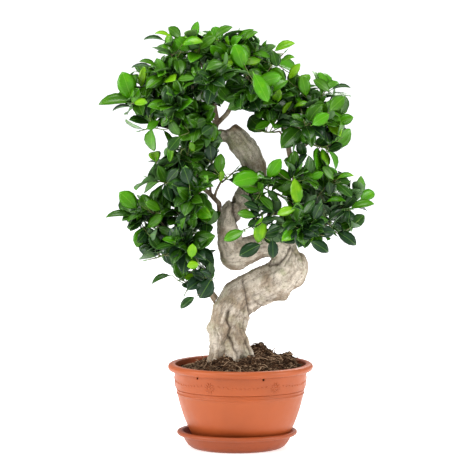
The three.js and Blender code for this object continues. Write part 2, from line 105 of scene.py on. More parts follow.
def makeLights():
    middle = Vector(studio["lightsAim"])
    for name, (azimuth, height, distance, size, watts) in studio["lights"].items():
        data = bpy.data.lights.new(name, "AREA")
        data.shape = "SQUARE"
        data.size = size
        data.energy = watts
        light = bpy.data.objects.new(name, data)
        turn = math.radians(azimuth)
        light.location = (math.sin(turn) * distance, -math.cos(turn) * distance, height)
        light.rotation_mode = "QUATERNION"
        light.rotation_quaternion = (middle - light.location).to_track_quat("-Z", "Y")
        bpy.context.scene.collection.objects.link(light)


def makeFloor():
    half = studio["floorSize"] / 2
    mesh = bpy.data.meshes.new("floor")
    corners = [(-half, -half, 0), (half, -half, 0), (half, half, 0), (-half, half, 0)]
    mesh.from_pydata(corners, [], [(0, 1, 2, 3)])
    floor = bpy.data.objects.new("floor", mesh)
    bpy.context.scene.collection.objects.link(floor)
    paint = bpy.data.materials.new("floorPaint")
    paint.use_nodes = True
    shader = paint.node_tree.nodes["Principled BSDF"]
    shader.inputs["Base Color"].default_value = studio["floorColour"]
    shader.inputs["Roughness"].default_value = studio["floorRoughness"]
    shader.inputs["Specular IOR Level"].default_value = studio["floorSpecular"]
    shader.inputs["Emission Color"].default_value = (1, 1, 1, 1)
    shader.inputs["Emission Strength"].default_value = studio["floorGlow"]
    mesh.materials.append(paint)


def makeSky():
    world = bpy.data.worlds.new("studio")
    world.use_nodes = True
    background = world.node_tree.nodes["Background"]
    background.inputs["Color"].default_value = studio["skyColour"]
    background.inputs["Strength"].default_value = studio["skyStrength"]
    bpy.context.scene.world = world
    view = bpy.context.scene.view_settings
    view.view_transform = "Standard"
    view.look = studio["look"]
    view.exposure = studio["exposure"]


makeCamera()
makeLights()
makeFloor()
makeSky()
print("camera, floor and lights are up")


# how a material is put together


class Paint:
    def __init__(self, name):
        self.material = bpy.data.materials.new(name)
        self.material.use_nodes = True
        self.tree = self.material.node_tree
        self.shader = self.tree.nodes["Principled BSDF"]

    def node(self, kind, **settings):
        made = self.tree.nodes.new(kind)
        for key, value in settings.items():
            setattr(made, key, value)
        return made

    def link(self, source, target):
        self.tree.links.new(source, target)

    def place(self):
        return self.node("ShaderNodeTexCoord").outputs["Object"]

    def stretched(self, vector, scale):
        mapping = self.node("ShaderNodeMapping")
        mapping.inputs["Scale"].default_value = scale
        self.link(vector, mapping.inputs["Vector"])
        return mapping.outputs["Vector"]

    def attribute(self, name, output="Fac"):
        return self.node("ShaderNodeAttribute", attribute_name=name).outputs[output]

    def speckle(self, vector, scale, detail, roughness=0.55):
        made = self.node("ShaderNodeTexNoise")
        made.inputs["Scale"].default_value = scale
        made.inputs["Detail"].default_value = detail
        made.inputs["Roughness"].default_value = roughness
        self.link(vector, made.inputs["Vector"])
        return made.outputs["Fac"]

    def ramp(self, value, stops):
        made = self.node("ShaderNodeValToRGB")
        while len(made.color_ramp.elements) < len(stops):
            made.color_ramp.elements.new(0.5)
        for element, (at, colour) in zip(made.color_ramp.elements, stops):
            element.position = at
            element.color = (*colour, 1.0)
        self.link(value, made.inputs["Fac"])
        return made.outputs["Color"]

    def grade(self, value, low, high, lowTo=0.0, highTo=1.0):
        made = self.node("ShaderNodeMapRange")
        for name, number in (("From Min", low), ("From Max", high), ("To Min", lowTo), ("To Max", highTo)):
            made.inputs[name].default_value = number
        self.link(value, made.inputs["Value"])
        return made.outputs["Result"]

    def feed(self, given, socket):
        # a socket takes another node's output, a colour or a number
        if isinstance(given, bpy.types.NodeSocket):
            self.link(given, socket)
        elif isinstance(given, tuple):
            socket.default_value = (*given, 1.0)
        else:
            socket.default_value = given

    def mix(self, share, first, second):
        made = self.node("ShaderNodeMix", data_type="RGBA")
        self.feed(share, made.inputs[0])
        self.feed(first, made.inputs[6])
        self.feed(second, made.inputs[7])
        return made.outputs[2]

    def maths(self, operation, first, second=0.0):
        made = self.node("ShaderNodeMath", operation=operation)
        self.feed(first, made.inputs[0])
        self.feed(second, made.inputs[1])
        return made.outputs[0]

    def relief(self, height, distance, strength):
        bump = self.node("ShaderNodeBump")
        bump.inputs["Distance"].default_value = distance
        bump.inputs["Strength"].default_value = strength
        self.link(height, bump.inputs["Height"])
        self.link(bump.outputs["Normal"], self.shader.inputs["Normal"])

    def colour(self, source):
        self.link(source, self.shader.inputs["Base Color"])

    def roughness(self, source):
        self.link(source, self.shader.inputs["Roughness"])

    def fixed(self, **values):
        for name, value in values.items():
            self.shader.inputs[name.replace("_", " ")].default_value = value


# how a piece is made and finished


def clamp(value):
    return max(0.0, min(1.0, value))


def newPiece(name, mesh, *materials):
    piece = bpy.data.objects.new(name, mesh)
    bpy.context.scene.collection.objects.link(piece)
    mesh.materials.clear()
    for material in materials:
        mesh.materials.append(material)
    return piece


def smoothShading(mesh):
    mesh.polygons.foreach_set("use_smooth", [True] * len(mesh.polygons))


def bakeModifiers(pieces):
    graph = bpy.context.evaluated_depsgraph_get()
    baked = []
    for piece in pieces:
        shaped = piece.evaluated_get(graph)
        mesh = bpy.data.meshes.new_from_object(shaped, preserve_all_data_layers=True, depsgraph=graph)
        baked.append(mesh)
    for piece, mesh in zip(pieces, baked):
        piece.modifiers.clear()
        plain = piece.data
        piece.data = mesh
        mesh.name = piece.name
        if plain.users == 0:
            bpy.data.meshes.remove(plain)


def mergedCopy(node):
    shape = bmesh.new()
    shape.from_mesh(nodes[node].data)
    bmesh.ops.remove_doubles(shape, verts=shape.verts, dist=2e-6)
    mesh = bpy.data.meshes.new(node + "Copy")
    shape.to_mesh(mesh)
    shape.free()
    return mesh


def remeshed(name, node, voxel, smoothing):
    piece = newPiece(name, mergedCopy(node))
    remesh = piece.modifiers.new("remesh", "REMESH")
    remesh.mode = "VOXEL"
    remesh.voxel_size = voxel
    remesh.use_smooth_shade = True
    if smoothing:
        smooth = piece.modifiers.new("smooth", "SMOOTH")
        smooth.factor = 0.5
        smooth.iterations = smoothing
    bakeModifiers([piece])
    return piece


def finish(piece, slot, *replaced):
    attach(piece, body)
    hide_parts(*replaced)


def writeAttribute(mesh, name, values, kind="FLOAT"):
    layer = mesh.attributes.new(name, kind, "POINT")
    key = {"FLOAT": "value", "INT": "value", "BOOLEAN": "value", "FLOAT_VECTOR": "vector"}[kind]
    if kind == "FLOAT_VECTOR":
        values = [part for vector in values for part in vector]
    layer.data.foreach_set(key, values)


def inUse(sockets, name):
    # a node has a socket of each name for every kind of value, and only those in use are enabled
    return next(socket for socket in sockets if socket.enabled and socket.name == name)


class NodeTree:
    def __init__(self, name, inputs):
        self.tree = bpy.data.node_groups.new(name, "GeometryNodeTree")
        self.keys = {}
        kinds = {float: "NodeSocketFloat", int: "NodeSocketInt"}
        self.addSocket("Geometry", "NodeSocketGeometry")
        for label, value in inputs.items():
            if value in ("Material", "Collection"):
                self.addSocket(label, "NodeSocket" + value)
            else:
                self.addSocket(label, kinds[type(value)]).default_value = value
        self.tree.interface.new_socket("Geometry", in_out="OUTPUT", socket_type="NodeSocketGeometry")
        self.start = self.node("NodeGroupInput")
        self.end = self.node("NodeGroupOutput")

    def addSocket(self, label, kind):
        made = self.tree.interface.new_socket(label, in_out="INPUT", socket_type=kind)
        self.keys[label] = made.identifier
        return made

    def node(self, kind, **settings):
        made = self.tree.nodes.new(kind)
        for key, value in settings.items():
            setattr(made, key, value)
        return made

    def link(self, source, target):
        self.tree.links.new(source, target)

    def named(self, name, kind):
        made = self.node("GeometryNodeInputNamedAttribute", data_type=kind)
        made.inputs["Name"].default_value = name
        return inUse(made.outputs, "Attribute")

    def piecesOf(self, label):
        info = self.node("GeometryNodeCollectionInfo")
        info.inputs["Separate Children"].default_value = True
        info.inputs["Reset Children"].default_value = True
        self.link(self.start.outputs[label], info.inputs["Collection"])
        return info.outputs["Instances"]

    def finished(self, geometry, material):
        realize = self.node("GeometryNodeRealizeInstances")
        self.link(geometry, realize.inputs["Geometry"])
        coat = self.node("GeometryNodeSetMaterial")
        self.link(realize.outputs["Geometry"], coat.inputs["Geometry"])
        self.link(self.start.outputs[material], coat.inputs["Material"])
        return coat.outputs["Geometry"]

    def applyTo(self, piece, values):
        modifier = piece.modifiers.new(self.tree.name, "NODES")
        modifier.node_group = self.tree
        for label, value in values.items():
            modifier[self.keys[label]] = value


def instancesOn(tree, pieces, scale):
    # one piece of the collection on each marked point, turned and sized by that point
    turn = tree.node("FunctionNodeEulerToRotation")
    tree.link(tree.named("leafTurn", "FLOAT_VECTOR"), turn.inputs["Euler"])
    size = tree.node("ShaderNodeVectorMath", operation="SCALE")
    tree.link(tree.named("leafSize", "FLOAT_VECTOR"), size.inputs["Vector"])
    tree.link(tree.start.outputs[scale], size.inputs["Scale"])
    put = tree.node("GeometryNodeInstanceOnPoints")
    put.inputs["Pick Instance"].default_value = True
    tree.link(tree.start.outputs["Geometry"], put.inputs["Points"])
    tree.link(tree.named("isLeaf", "BOOLEAN"), put.inputs["Selection"])
    tree.link(tree.piecesOf(pieces), put.inputs["Instance"])
    tree.link(tree.named("leafKind", "INT"), put.inputs["Instance Index"])
    tree.link(turn.outputs["Rotation"], put.inputs["Rotation"])
    tree.link(size.outputs["Vector"], put.inputs["Scale"])
    return put.outputs["Instances"]


def leafEntry(foot, way, up, size, tone, kind):
    way = way.normalized()
    up = (up - way * up.dot(way)).normalized()
    turn = Matrix((way, up.cross(way), up)).transposed().to_euler()
    return {"at": foot, "turn": tuple(turn), "size": size, "tone": tone, "kind": kind}


stemTaper = {"sideTwig": 0.62, "tip": 0.8}  # shares of the thick and of the thin radius


def pointMesh(name, stems, leaves, thick=0.0, thin=0.0):
    # stems come first, each a run of joined points; every leaf is a loose point after them
    points, edges, radii = [], [], []
    for number, stem in enumerate(stems):
        start = len(points)
        points += [tuple(p) for p in stem]
        edges += [(start + i, start + i + 1) for i in range(len(stem) - 1)]
        base = thick if number == 0 else thick * stemTaper["sideTwig"]
        radii += [base + (thin * stemTaper["tip"] - base) * i / (len(stem) - 1) for i in range(len(stem))]
    blank = len(points)
    mesh = bpy.data.meshes.new(name)
    mesh.from_pydata(points + [tuple(leaf["at"]) for leaf in leaves], edges, [])
    kinds = [0] * blank + [leaf["kind"] for leaf in leaves]
    tones = [0.5] * blank + [clamp(leaf["tone"]) for leaf in leaves]
    turns = [(0, 0, 0)] * blank + [leaf["turn"] for leaf in leaves]
    sizes = [(1, 1, 1)] * blank + [leaf["size"] for leaf in leaves]
    writeAttribute(mesh, "stemRadius", radii + [0.0] * len(leaves))
    writeAttribute(mesh, "isLeaf", [False] * blank + [True] * len(leaves), "BOOLEAN")
    writeAttribute(mesh, "leafKind", kinds, "INT")
    writeAttribute(mesh, "tone", tones)
    writeAttribute(mesh, "leafTurn", turns, "FLOAT_VECTOR")
    writeAttribute(mesh, "leafSize", sizes, "FLOAT_VECTOR")
    return mesh


def templateCollection(name, meshes):
    made = bpy.data.collections.new(name)
    for i, mesh in enumerate(meshes):
        made.objects.link(bpy.data.objects.new(f"{name}{i}", mesh))
    return made


# the finishes

plastic = {
    "bowlColour": (0.306, 0.075, 0.021),
    # the bowl's plastic, darkened: painted shade for the saucer's downward-facing wall
    "saucerShadedColour": (0.246, 0.058, 0.017),
    "paler": 1.14,
    "roughness": 0.42,
    "grainDepth": 0.00006,
}


def plasticPaint(name, colour):
    paint = Paint(name)
    vector = paint.place()
    cloudy = paint.speckle(vector, 16.0, 3.0)
    pale = tuple(part * plastic["paler"] for part in colour)
    paint.colour(paint.mix(paint.grade(cloudy, 0.35, 0.7), colour, pale))
    scuffed = paint.speckle(vector, 60.0, 3.0)
    roughness = plastic["roughness"]
    paint.roughness(paint.grade(scuffed, 0.3, 0.75, roughness - 0.06, roughness + 0.1))
    paint.relief(paint.speckle(vector, 1900.0, 2.0), plastic["grainDepth"], 0.6)
    paint.fixed(Specular_IOR_Level=0.36)
    return paint.material


bark = {
    "pale": (0.60, 0.53, 0.44),
    "warm": (0.325, 0.256, 0.184),
    "grey": (0.21, 0.18, 0.142),
    "green": (0.25, 0.27, 0.13),
    "crease": (0.05, 0.033, 0.022),
    # painted shade for the creases, furrows and hollows between the ridges
    "speck": (0.09, 0.068, 0.05),
    "sawn": (0.27, 0.17, 0.09),
    "patchy": (0.68, 0.62, 0.53),
    "streaks": (1.3, 5.0, 5.0),  # stretched along the trunk
    "rings": (7.0, 1.1, 1.1),  # stretched round it
}


def barkPaint():
    paint = Paint("barkPaint")
    vector = paint.place()
    grain = paint.attribute("grain", "Vector")
    cloudy = paint.speckle(vector, 26.0, 6.0, 0.65)
    colour = paint.mix(paint.grade(cloudy, 0.44, 0.6), bark["pale"], bark["warm"])
    streaks = paint.speckle(paint.stretched(grain, bark["streaks"]), 2.2, 7.0, 0.72)
    colour = paint.mix(paint.grade(streaks, 0.5, 0.68, 0.0, 0.85), colour, bark["grey"])
    rings = paint.speckle(paint.stretched(grain, bark["rings"]), 2.6, 5.0, 0.65)
    fromLine = paint.maths("ABSOLUTE", paint.maths("SUBTRACT", rings, 0.5))
    colour = paint.mix(paint.grade(fromLine, 0.0, 0.018, 0.5, 0.0), colour, bark["grey"])
    mossy = paint.speckle(vector, 30.0, 4.0, 0.65)
    moss = paint.maths("MULTIPLY", paint.grade(mossy, 0.5, 0.66), paint.attribute("moss"))
    colour = paint.mix(moss, colour, bark["green"])
    fine = paint.speckle(vector, 330.0, 5.0, 0.75)
    colour = paint.mix(paint.grade(fine, 0.57, 0.66, 0.0, 0.8), colour, bark["speck"])
    colour = paint.mix(paint.grade(fine, 0.3, 0.42, 0.5, 0.0), colour, bark["patchy"])
    colour = paint.mix(paint.attribute("sawn"), colour, bark["sawn"])
    # painted shade in the creases, furrows and hollows between the ridges
    colour = paint.mix(paint.attribute("crease"), colour, bark["crease"])
    paint.colour(colour)
    paint.roughness(paint.grade(cloudy, 0.3, 0.7, 0.62, 0.85))
    height = paint.maths("ADD", paint.maths("MULTIPLY", fine, 0.4), paint.maths("MULTIPLY", streaks, 1.2))
    paint.relief(height, 0.0022, 0.9)
    paint.fixed(Specular_IOR_Level=0.22)
    return paint.material


twigColours = {
    "stops": [(0.3, (0.12, 0.08, 0.05)), (0.5, (0.26, 0.2, 0.14)), (0.72, (0.42, 0.36, 0.28))],
    "speck": (0.06, 0.04, 0.025),
}


def twigPaint():
    paint = Paint("twigPaint")
    vector = paint.place()
    cloudy = paint.speckle(vector, 90.0, 5.0, 0.6)
    colour = paint.ramp(cloudy, twigColours["stops"])
    fine = paint.speckle(vector, 900.0, 3.0)
    colour = paint.mix(paint.grade(fine, 0.58, 0.7, 0.0, 0.6), colour, twigColours["speck"])
    paint.colour(colour)
    paint.relief(fine, 0.0003, 0.7)
    paint.fixed(Roughness=0.78, Specular_IOR_Level=0.3)
    return paint.material


stemColours = {"young": (0.17, 0.27, 0.05), "old": (0.16, 0.13, 0.07)}


def stemPaint():
    paint = Paint("stemPaint")
    cloudy = paint.speckle(paint.place(), 160.0, 3.0)
    paint.colour(paint.mix(paint.grade(cloudy, 0.4, 0.6), stemColours["young"], stemColours["old"]))
    paint.fixed(Roughness=0.55)
    return paint.material


leafColours = {
    # from old leaves deep in the tree to the newest at its edge; the dark end is also painted shade deep in
    # the tree and behind the trunk, and the bright end also painted light on its top and outside
    "stops": [
        (0.0, (0.024, 0.052, 0.030)),
        (0.2, (0.009, 0.035, 0.009)),
        (0.42, (0.024, 0.082, 0.004)),
        (0.68, (0.056, 0.172, 0.003)),
        (0.88, (0.064, 0.240, 0.002)),
        (1.0, (0.165, 0.345, 0.005)),
    ],
    "under": (0.15, 0.25, 0.12),
    "rib": (0.20, 0.38, 0.05),
    "roughness": 0.25,
}


def leafPaint():
    paint = Paint("leafPaint")
    tone = paint.attribute("tone")
    surface = paint.node("ShaderNodeUVMap", uv_map="blade").outputs["UV"]
    parts = paint.node("ShaderNodeSeparateXYZ")
    paint.link(surface, parts.inputs["Vector"])
    along, across = parts.outputs["X"], parts.outputs["Y"]
    fromRib = paint.maths("ABSOLUTE", paint.maths("SUBTRACT", across, 0.5))

    cloudy = paint.speckle(paint.place(), 55.0, 4.0)
    shade = paint.maths("ADD", tone, paint.grade(cloudy, 0.3, 0.7, -0.09, 0.09))
    colour = paint.ramp(shade, leafColours["stops"])

    # side veins slant forwards from the midrib
    slant = paint.maths("SUBTRACT", along, paint.maths("MULTIPLY", fromRib, 0.45))
    vein = paint.maths("SINE", paint.maths("MULTIPLY", slant, 78.0))
    veined = paint.grade(vein, 0.72, 1.0, 0.0, 0.08)
    colour = paint.mix(veined, colour, leafColours["rib"])
    rib = paint.grade(fromRib, 0.010, 0.026, 0.34, 0.0)
    colour = paint.mix(rib, colour, leafColours["rib"])

    under = paint.attribute("under")
    pale = paint.mix(0.4, leafColours["under"], colour)
    pale = paint.mix(rib, pale, leafColours["rib"])
    paint.colour(paint.mix(under, colour, pale))
    paint.roughness(paint.grade(under, 0.0, 1.0, leafColours["roughness"], 0.55))
    height = paint.maths("SUBTRACT", paint.grade(vein, 0.5, 1.0, 0.0, -0.3), rib)
    paint.relief(height, 0.0004, 0.5)
    paint.fixed(Specular_IOR_Level=0.34)
    return paint.material


soilColours = {
    "wet": (0.032, 0.015, 0.008),
    "dry": (0.125, 0.066, 0.034),
    "pale": (0.30, 0.19, 0.11),
    "crumbStops": [(0.0, (0.015, 0.008, 0.005)), (0.5, (0.086, 0.050, 0.029)), (1.0, (0.37, 0.26, 0.17))],
}


def soilPaint():
    paint = Paint("soilPaint")
    vector = paint.place()
    cloudy = paint.speckle(vector, 70.0, 6.0, 0.7)
    colour = paint.mix(paint.grade(cloudy, 0.38, 0.66), soilColours["wet"], soilColours["dry"])
    fine = paint.speckle(vector, 700.0, 4.0, 0.7)
    colour = paint.mix(paint.grade(fine, 0.62, 0.74, 0.0, 0.6), colour, soilColours["pale"])
    paint.colour(colour)
    paint.relief(fine, 0.0016, 1.0)
    paint.fixed(Roughness=0.95, Specular_IOR_Level=0.15)
    return paint.material


def crumbPaint():
    paint = Paint("crumbPaint")
    fine = paint.speckle(paint.place(), 500.0, 3.0)
    shade = paint.maths("ADD", paint.attribute("tone"), paint.grade(fine, 0.3, 0.7, -0.15, 0.15))
    paint.colour(paint.ramp(shade, soilColours["crumbStops"]))
    paint.relief(fine, 0.0008, 1.0)
    paint.fixed(Roughness=0.95, Specular_IOR_Level=0.15)
    return paint.material


bowlPaint = plasticPaint("bowlPlastic", plastic["bowlColour"])
# the saucer's plastic carries painted shade in its darker colour
saucerShadedPaint = plasticPaint("saucerPlastic", plastic["saucerShadedColour"])
trunkPaint = barkPaint()
branchPaint = twigPaint()
sprigStemPaint = stemPaint()
bladePaint = leafPaint()
groundPaint = soilPaint()
clodPaint = crumbPaint()
print("materials are mixed")


# bowl and saucer, turned in plastic


def curvePoints(start, first, second, end, count):
    corners = (start, first, second, end)
    points = []
    for i in range(count + 1):
        t = i / count
        s = 1 - t
        weights = (s**3, 3 * s * s * t, 3 * s * t * t, t**3)
        points.append(tuple(sum(w * p[k] for w, p in zip(weights, corners)) for k in (0, 1)))
    return points


def roundPoints(centre, radius, fromAngle, toAngle, count):
    angles = [math.radians(fromAngle + (toAngle - fromAngle) * i / count) for i in range(count + 1)]
    return [(centre[0] + radius * math.cos(a), centre[1] + radius * math.sin(a)) for a in angles]


def turnedMesh(name, profile, segments, centre):
    # the profile runs from the axis under the piece, up its outside, and back down its inside to the axis
    shape = bmesh.new()
    rings = []
    for radius, height in profile:
        if radius < 1e-6:
            rings.append([shape.verts.new((centre[0], centre[1], height * mm))])
            continue
        ring = []
        for i in range(segments):
            turn = 2 * math.pi * i / segments
            ring.append(shape.verts.new((
                centre[0] + math.cos(turn) * radius * mm,
                centre[1] + math.sin(turn) * radius * mm,
                height * mm,
            )))
        rings.append(ring)
    for low, high in zip(rings, rings[1:]):
        for i in range(segments):
            j = (i + 1) % segments
            if len(low) == 1:
                shape.faces.new((low[0], high[j], high[i]))
            elif len(high) == 1:
                shape.faces.new((low[i], low[j], high[0]))
            else:
                shape.faces.new((low[i], low[j], high[j], high[i]))
    bmesh.ops.recalc_face_normals(shape, faces=shape.faces)
    mesh = bpy.data.meshes.new(name)
    shape.to_mesh(mesh)
    shape.free()
    smoothShading(mesh)
    return mesh


bowlLow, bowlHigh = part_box("bowl")
saucerLow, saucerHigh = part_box("saucer")

bowlShape = {
    "rimRadius": (bowlHigh.x - bowlLow.x) / 2 / mm,
    "foot": bowlLow.z / mm,
    "height": (bowlHigh.z - bowlLow.z) / mm,
    "baseRadius": 62.0,
    "wall": 2.4,
    "floor": 3.0,
    "beadHeight": 12.1,
    "beadWidth": 10.2,
    "bandHeight": 39.5,
    "bandStep": 5.5,
    "bandInset": 2.9,  # how far the band stands in at its foot
    "bandStart": 11.0,  # above the rings' foot
    "footWidth": 12.0,
    "footRise": 1.5,
    "segments": 240,
    "holes": 6,
    "hangerRadius": 2.0,
    "hangerTurn": -130.0,
    "hangerDrop": 0.9,
    "hangerDepth": 14.0,
    "drainRadius": 4.5,
    "drainCircle": 36.0,
    "drainDepth": 12.0,
}


def bowlProfile():
    b = bowlShape
    foot, height = b["foot"], b["height"]
    bandTop = height - b["beadHeight"]
    bandFoot = bandTop - b["bandHeight"]
    band = b["rimRadius"] - b["beadWidth"]
    side = band - b["bandStep"]
    bead = b["beadHeight"] / 2
    base = b["baseRadius"]
    inset = b["wall"]
    inner = base - b["footWidth"]
    rise = b["footRise"]
    points = [(0, rise), (inner - 0.6, rise), (inner, rise - 0.6)]
    points += [(inner, 0.5), (inner + 0.5, 0), (base - 1, 0)]
    points += curvePoints((base, 0.15), (base + 18, 4), (side - 10, bandFoot * 0.5), (side, bandFoot), 26)
    # two fine raised rings, and the step out to the band
    lowRing = [(0.8, 0.2), (1.2, 1.2), (1.0, 2.1), (0.3, 2.7), (0.1, 3.4), (0.1, 4.7), (0.3, 5.4)]
    highRing = [(1.0, 5.9), (1.3, 6.8), (1.0, 7.6), (0.2, 8.1), (0.2, 8.7)]
    points += [(side + out, bandFoot + up) for out, up in lowRing + highRing]
    points += [(band - 3.5, bandFoot + 9.2), (band - 3, bandFoot + 9.9)]
    points += [(band - b["bandInset"], bandFoot + b["bandStart"]), (band - 2, bandFoot + 19)]
    points += [(band - 0.8, bandTop - 6), (band - 0.5, bandTop - 5), (band - 0.2, bandTop - 0.6)]
    points += [(band, bandTop - 0.2), (band + 0.8, bandTop)]
    points += roundPoints((b["rimRadius"] - bead, height - bead), bead, -90, 90, 18)
    points += [(band - inset + 2.2, height), (band - inset + 0.8, height - 0.4), (band - inset, height - 1.6)]
    points += [(band - inset, height - 3), (band - 3 - inset, bandFoot + 8)]
    points += curvePoints(
        (side - inset, bandFoot), (side - 10 - inset, bandFoot * 0.5),
        (base + 18 - inset, b["floor"] + 4), (base - inset, b["floor"]), 12,
    )
    points += [(0, b["floor"])]
    return [(radius, foot + z) for radius, z in points]


def cutHoles(piece, centres, directions, radius, depth):
    shape = bmesh.new()
    for centre, direction in zip(centres, directions):
        turn = direction.to_track_quat("Z", "Y").to_matrix().to_4x4()
        bmesh.ops.create_cone(
            shape, cap_ends=True, segments=20, radius1=radius, radius2=radius, depth=depth,
            matrix=Matrix.Translation(centre) @ turn,
        )
    mesh = bpy.data.meshes.new("drill")
    shape.to_mesh(mesh)
    shape.free()
    drill = newPiece("drill", mesh)
    cut = piece.modifiers.new("holes", "BOOLEAN")
    cut.operation = "DIFFERENCE"
    cut.solver = "EXACT"
    cut.object = drill
    bakeModifiers([piece])
    bpy.data.objects.remove(drill)


def makeBowl():
    b = bowlShape
    piece = newPiece("bowl_turned", turnedMesh("bowl_turned", bowlProfile(), b["segments"], (0.0, 0.0)))
    bandTop = (b["foot"] + b["height"] - b["beadHeight"]) * mm
    band = (b["rimRadius"] - b["beadWidth"]) * mm
    turns = [math.radians(b["hangerTurn"] + 360 / b["holes"] * i) for i in range(b["holes"])]
    outward = [Vector((math.cos(t), math.sin(t), 0)) for t in turns]
    height = Vector((0, 0, bandTop - (b["hangerRadius"] + b["hangerDrop"]) * mm))
    centres = [way * band + height for way in outward]
    cutHoles(piece, centres, outward, b["hangerRadius"] * mm, b["hangerDepth"] * mm)
    turns = [2 * math.pi * i / b["holes"] for i in range(b["holes"])]
    circle, foot = b["drainCircle"], b["foot"] * mm
    centres = [Vector((math.cos(t) * circle * mm, math.sin(t) * circle * mm, foot)) for t in turns]
    cutHoles(piece, centres, [Vector((0, 0, 1))] * b["holes"], b["drainRadius"] * mm, b["drainDepth"] * mm)
    smoothShading(piece.data)
    # the bowl's own plastic alone, whatever the cuts left
    piece.data.materials.clear()
    piece.data.materials.append(bowlPaint)
    finish(piece, "bowl", "bowl")


saucerShape = {
    "beadHeight": 7.4,
    "beadWidth": 9.5,
    "wall": 2.2,
    "floor": 2.6,
    "baseMargin": 10.0,
    "segments": 220,
}


def saucerProfile():
    s = saucerShape
    height = saucerHigh.z / mm
    rim = (saucerHigh.y - saucerLow.y) / 2 / mm
    base = bowlShape["baseRadius"] + s["baseMargin"]
    neck = rim - s["beadWidth"]
    flare = neck - base
    beadFoot = height - s["beadHeight"]
    bead = s["beadHeight"] / 2
    wall, floor = s["wall"], s["floor"]
    points = [(0, 0.8), (base - 12, 0.8), (base - 11, 0), (base - 0.8, 0)]
    points += curvePoints(
        (base, 0.1), (base + flare * 0.5, 0.5),
        (neck - flare * 0.2, beadFoot * 0.5), (neck, beadFoot - 0.8), 14,
    )
    points += [(neck + 0.8, beadFoot)]
    points += roundPoints((rim - bead, height - bead), bead, -90, 90, 14)
    points += [(neck + 1.2, height), (neck + 0.2, height - 0.4), (neck - 0.3, height - 1.5)]
    points += curvePoints(
        (neck - wall, beadFoot + 2), (neck - flare * 0.2 - wall, beadFoot * 0.5 + 1.5),
        (base + flare * 0.5 - wall, floor + 0.5), (base - wall, floor), 12,
    )
    points += [(0, floor)]
    return points


def makeSaucer():
    middle = ((saucerLow.x + saucerHigh.x) / 2, (saucerLow.y + saucerHigh.y) / 2)
    mesh = turnedMesh("saucer_turned", saucerProfile(), saucerShape["segments"], middle)
    finish(newPiece("saucer_turned", mesh, saucerShadedPaint), "saucer", "saucer")


garland = {
    "rosettes": 6,
    "firstTurn": -118.0,
    "height": 21.0,  # above the rings' foot
    "petals": 10,
    "petalSize": (6.6, 3.3, 1.7),
    "rosetteRadius": 6.6,
    "heartSize": (4.29, 4.29, 1.6),
    "bandLean": 0.1,
    "sprigs": 12,
    "sprigFrom": 7.0,  # degrees past a rosette's middle
    "sprigSpan": 46.0,
    "sprigRise": 3.0,  # above the rosettes' middles, where the row starts and ends
    "sprigTilt": 0.6,
    "sprigSize": (5.6, 2.4, 1.5),
    "sag": 3.0,
}


def petalMesh():
    shape = bmesh.new()
    bmesh.ops.create_uvsphere(shape, u_segments=8, v_segments=5, radius=0.5)
    mesh = bpy.data.meshes.new("petal")
    shape.to_mesh(mesh)
    shape.free()
    smoothShading(mesh)
    return mesh


def garlandTree():
    tree = NodeTree("garland", {"Pieces": "Collection", "Piece Size": 1.0, "Plastic": "Material"})
    put = instancesOn(tree, "Pieces", "Piece Size")
    tree.link(tree.finished(put, "Plastic"), tree.end.inputs["Geometry"])
    return tree


def makeGarland():
    # raised petals lie half sunk in the band
    b, g = bowlShape, garland
    bandFoot = b["foot"] + b["height"] - b["beadHeight"] - b["bandHeight"]
    band = b["rimRadius"] - b["beadWidth"]
    entries = []

    def addPetal(turn, rise, size, tilt):
        # the band leans out a little as it rises
        radius = band - b["bandInset"] + (rise - b["bandStart"]) * g["bandLean"]
        outward = Vector((math.cos(turn), math.sin(turn), 0))
        sideways = Vector((-math.sin(turn), math.cos(turn), 0))
        way = sideways * math.cos(tilt) + Vector((0, 0, 1)) * math.sin(tilt)
        at = (outward * radius + Vector((0, 0, bandFoot + rise))) * mm
        entries.append(leafEntry(at, way, outward, tuple(part * mm for part in size), 0.0, 0))

    for i in range(g["rosettes"]):
        middle = math.radians(g["firstTurn"] + 360 / g["rosettes"] * i)
        addPetal(middle, g["height"], g["heartSize"], 0.0)
        for k in range(g["petals"]):
            tilt = 2 * math.pi * k / g["petals"]
            aside = g["rosetteRadius"] * math.cos(tilt) / band
            rise = g["height"] + g["rosetteRadius"] * math.sin(tilt)
            addPetal(middle + aside, rise, g["petalSize"], tilt)
        for k in range(g["sprigs"]):
            share = (k + 0.5) / g["sprigs"]
            turn = middle + math.radians(g["sprigFrom"] + g["sprigSpan"] * share)
            rise = g["height"] + g["sprigRise"] - g["sag"] * math.sin(math.pi * share)
            addPetal(turn, rise, g["sprigSize"], g["sprigTilt"] if k % 2 else -g["sprigTilt"])
    piece = newPiece("bowl_garland", pointMesh("bowl_garland", [], entries))
    petals = templateCollection("petals", [petalMesh()])
    garlandTree().applyTo(piece, {"Pieces": petals, "Piece Size": 1.0, "Plastic": bowlPaint})
    bakeModifiers([piece])
    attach(piece, body)


makeBowl()
makeSaucer()
makeGarland()
print("bowl and saucer are turned")


# the trunk

trunkShape = {
    "voxel": 0.0019,
    "smoothing": 12,
    "lump": 0.0034,
    "ridge": 0.0030,
    "wrinkle": 0.0016,
    "pit": 0.0010,
    "furrow": 0.0009,
    "furrowWidth": 0.12,
    "creasedBefore": 12,  # creases are cut only where y is less than this, in millimetres
    "mossBelts": [(300, 350), (395, 1000)],  # from one height to another, in millimetres
    "mossy": 0.55,
    "clean": 0.28,
    "sawnFrom": 543,  # millimetres up, where the saw cut starts
    "sawnOver": 7,
    "sawnShare": 0.8,
}

# the trunk's heart line from the soil to the sawn top, as (x, z) in millimetres
heartLine = [
    (-21, 120), (-22, 182), (-22, 208), (-16, 235), (-2, 259), (25, 274), (55, 287), (82, 308), (80, 340),
    (60, 351), (35, 348), (10, 339), (-10, 336), (-19, 358), (-20, 386), (-16, 408), (2, 424), (17, 444),
    (25, 465), (23, 485), (14, 507), (1, 524), (-12, 540), (-20, 549),
]
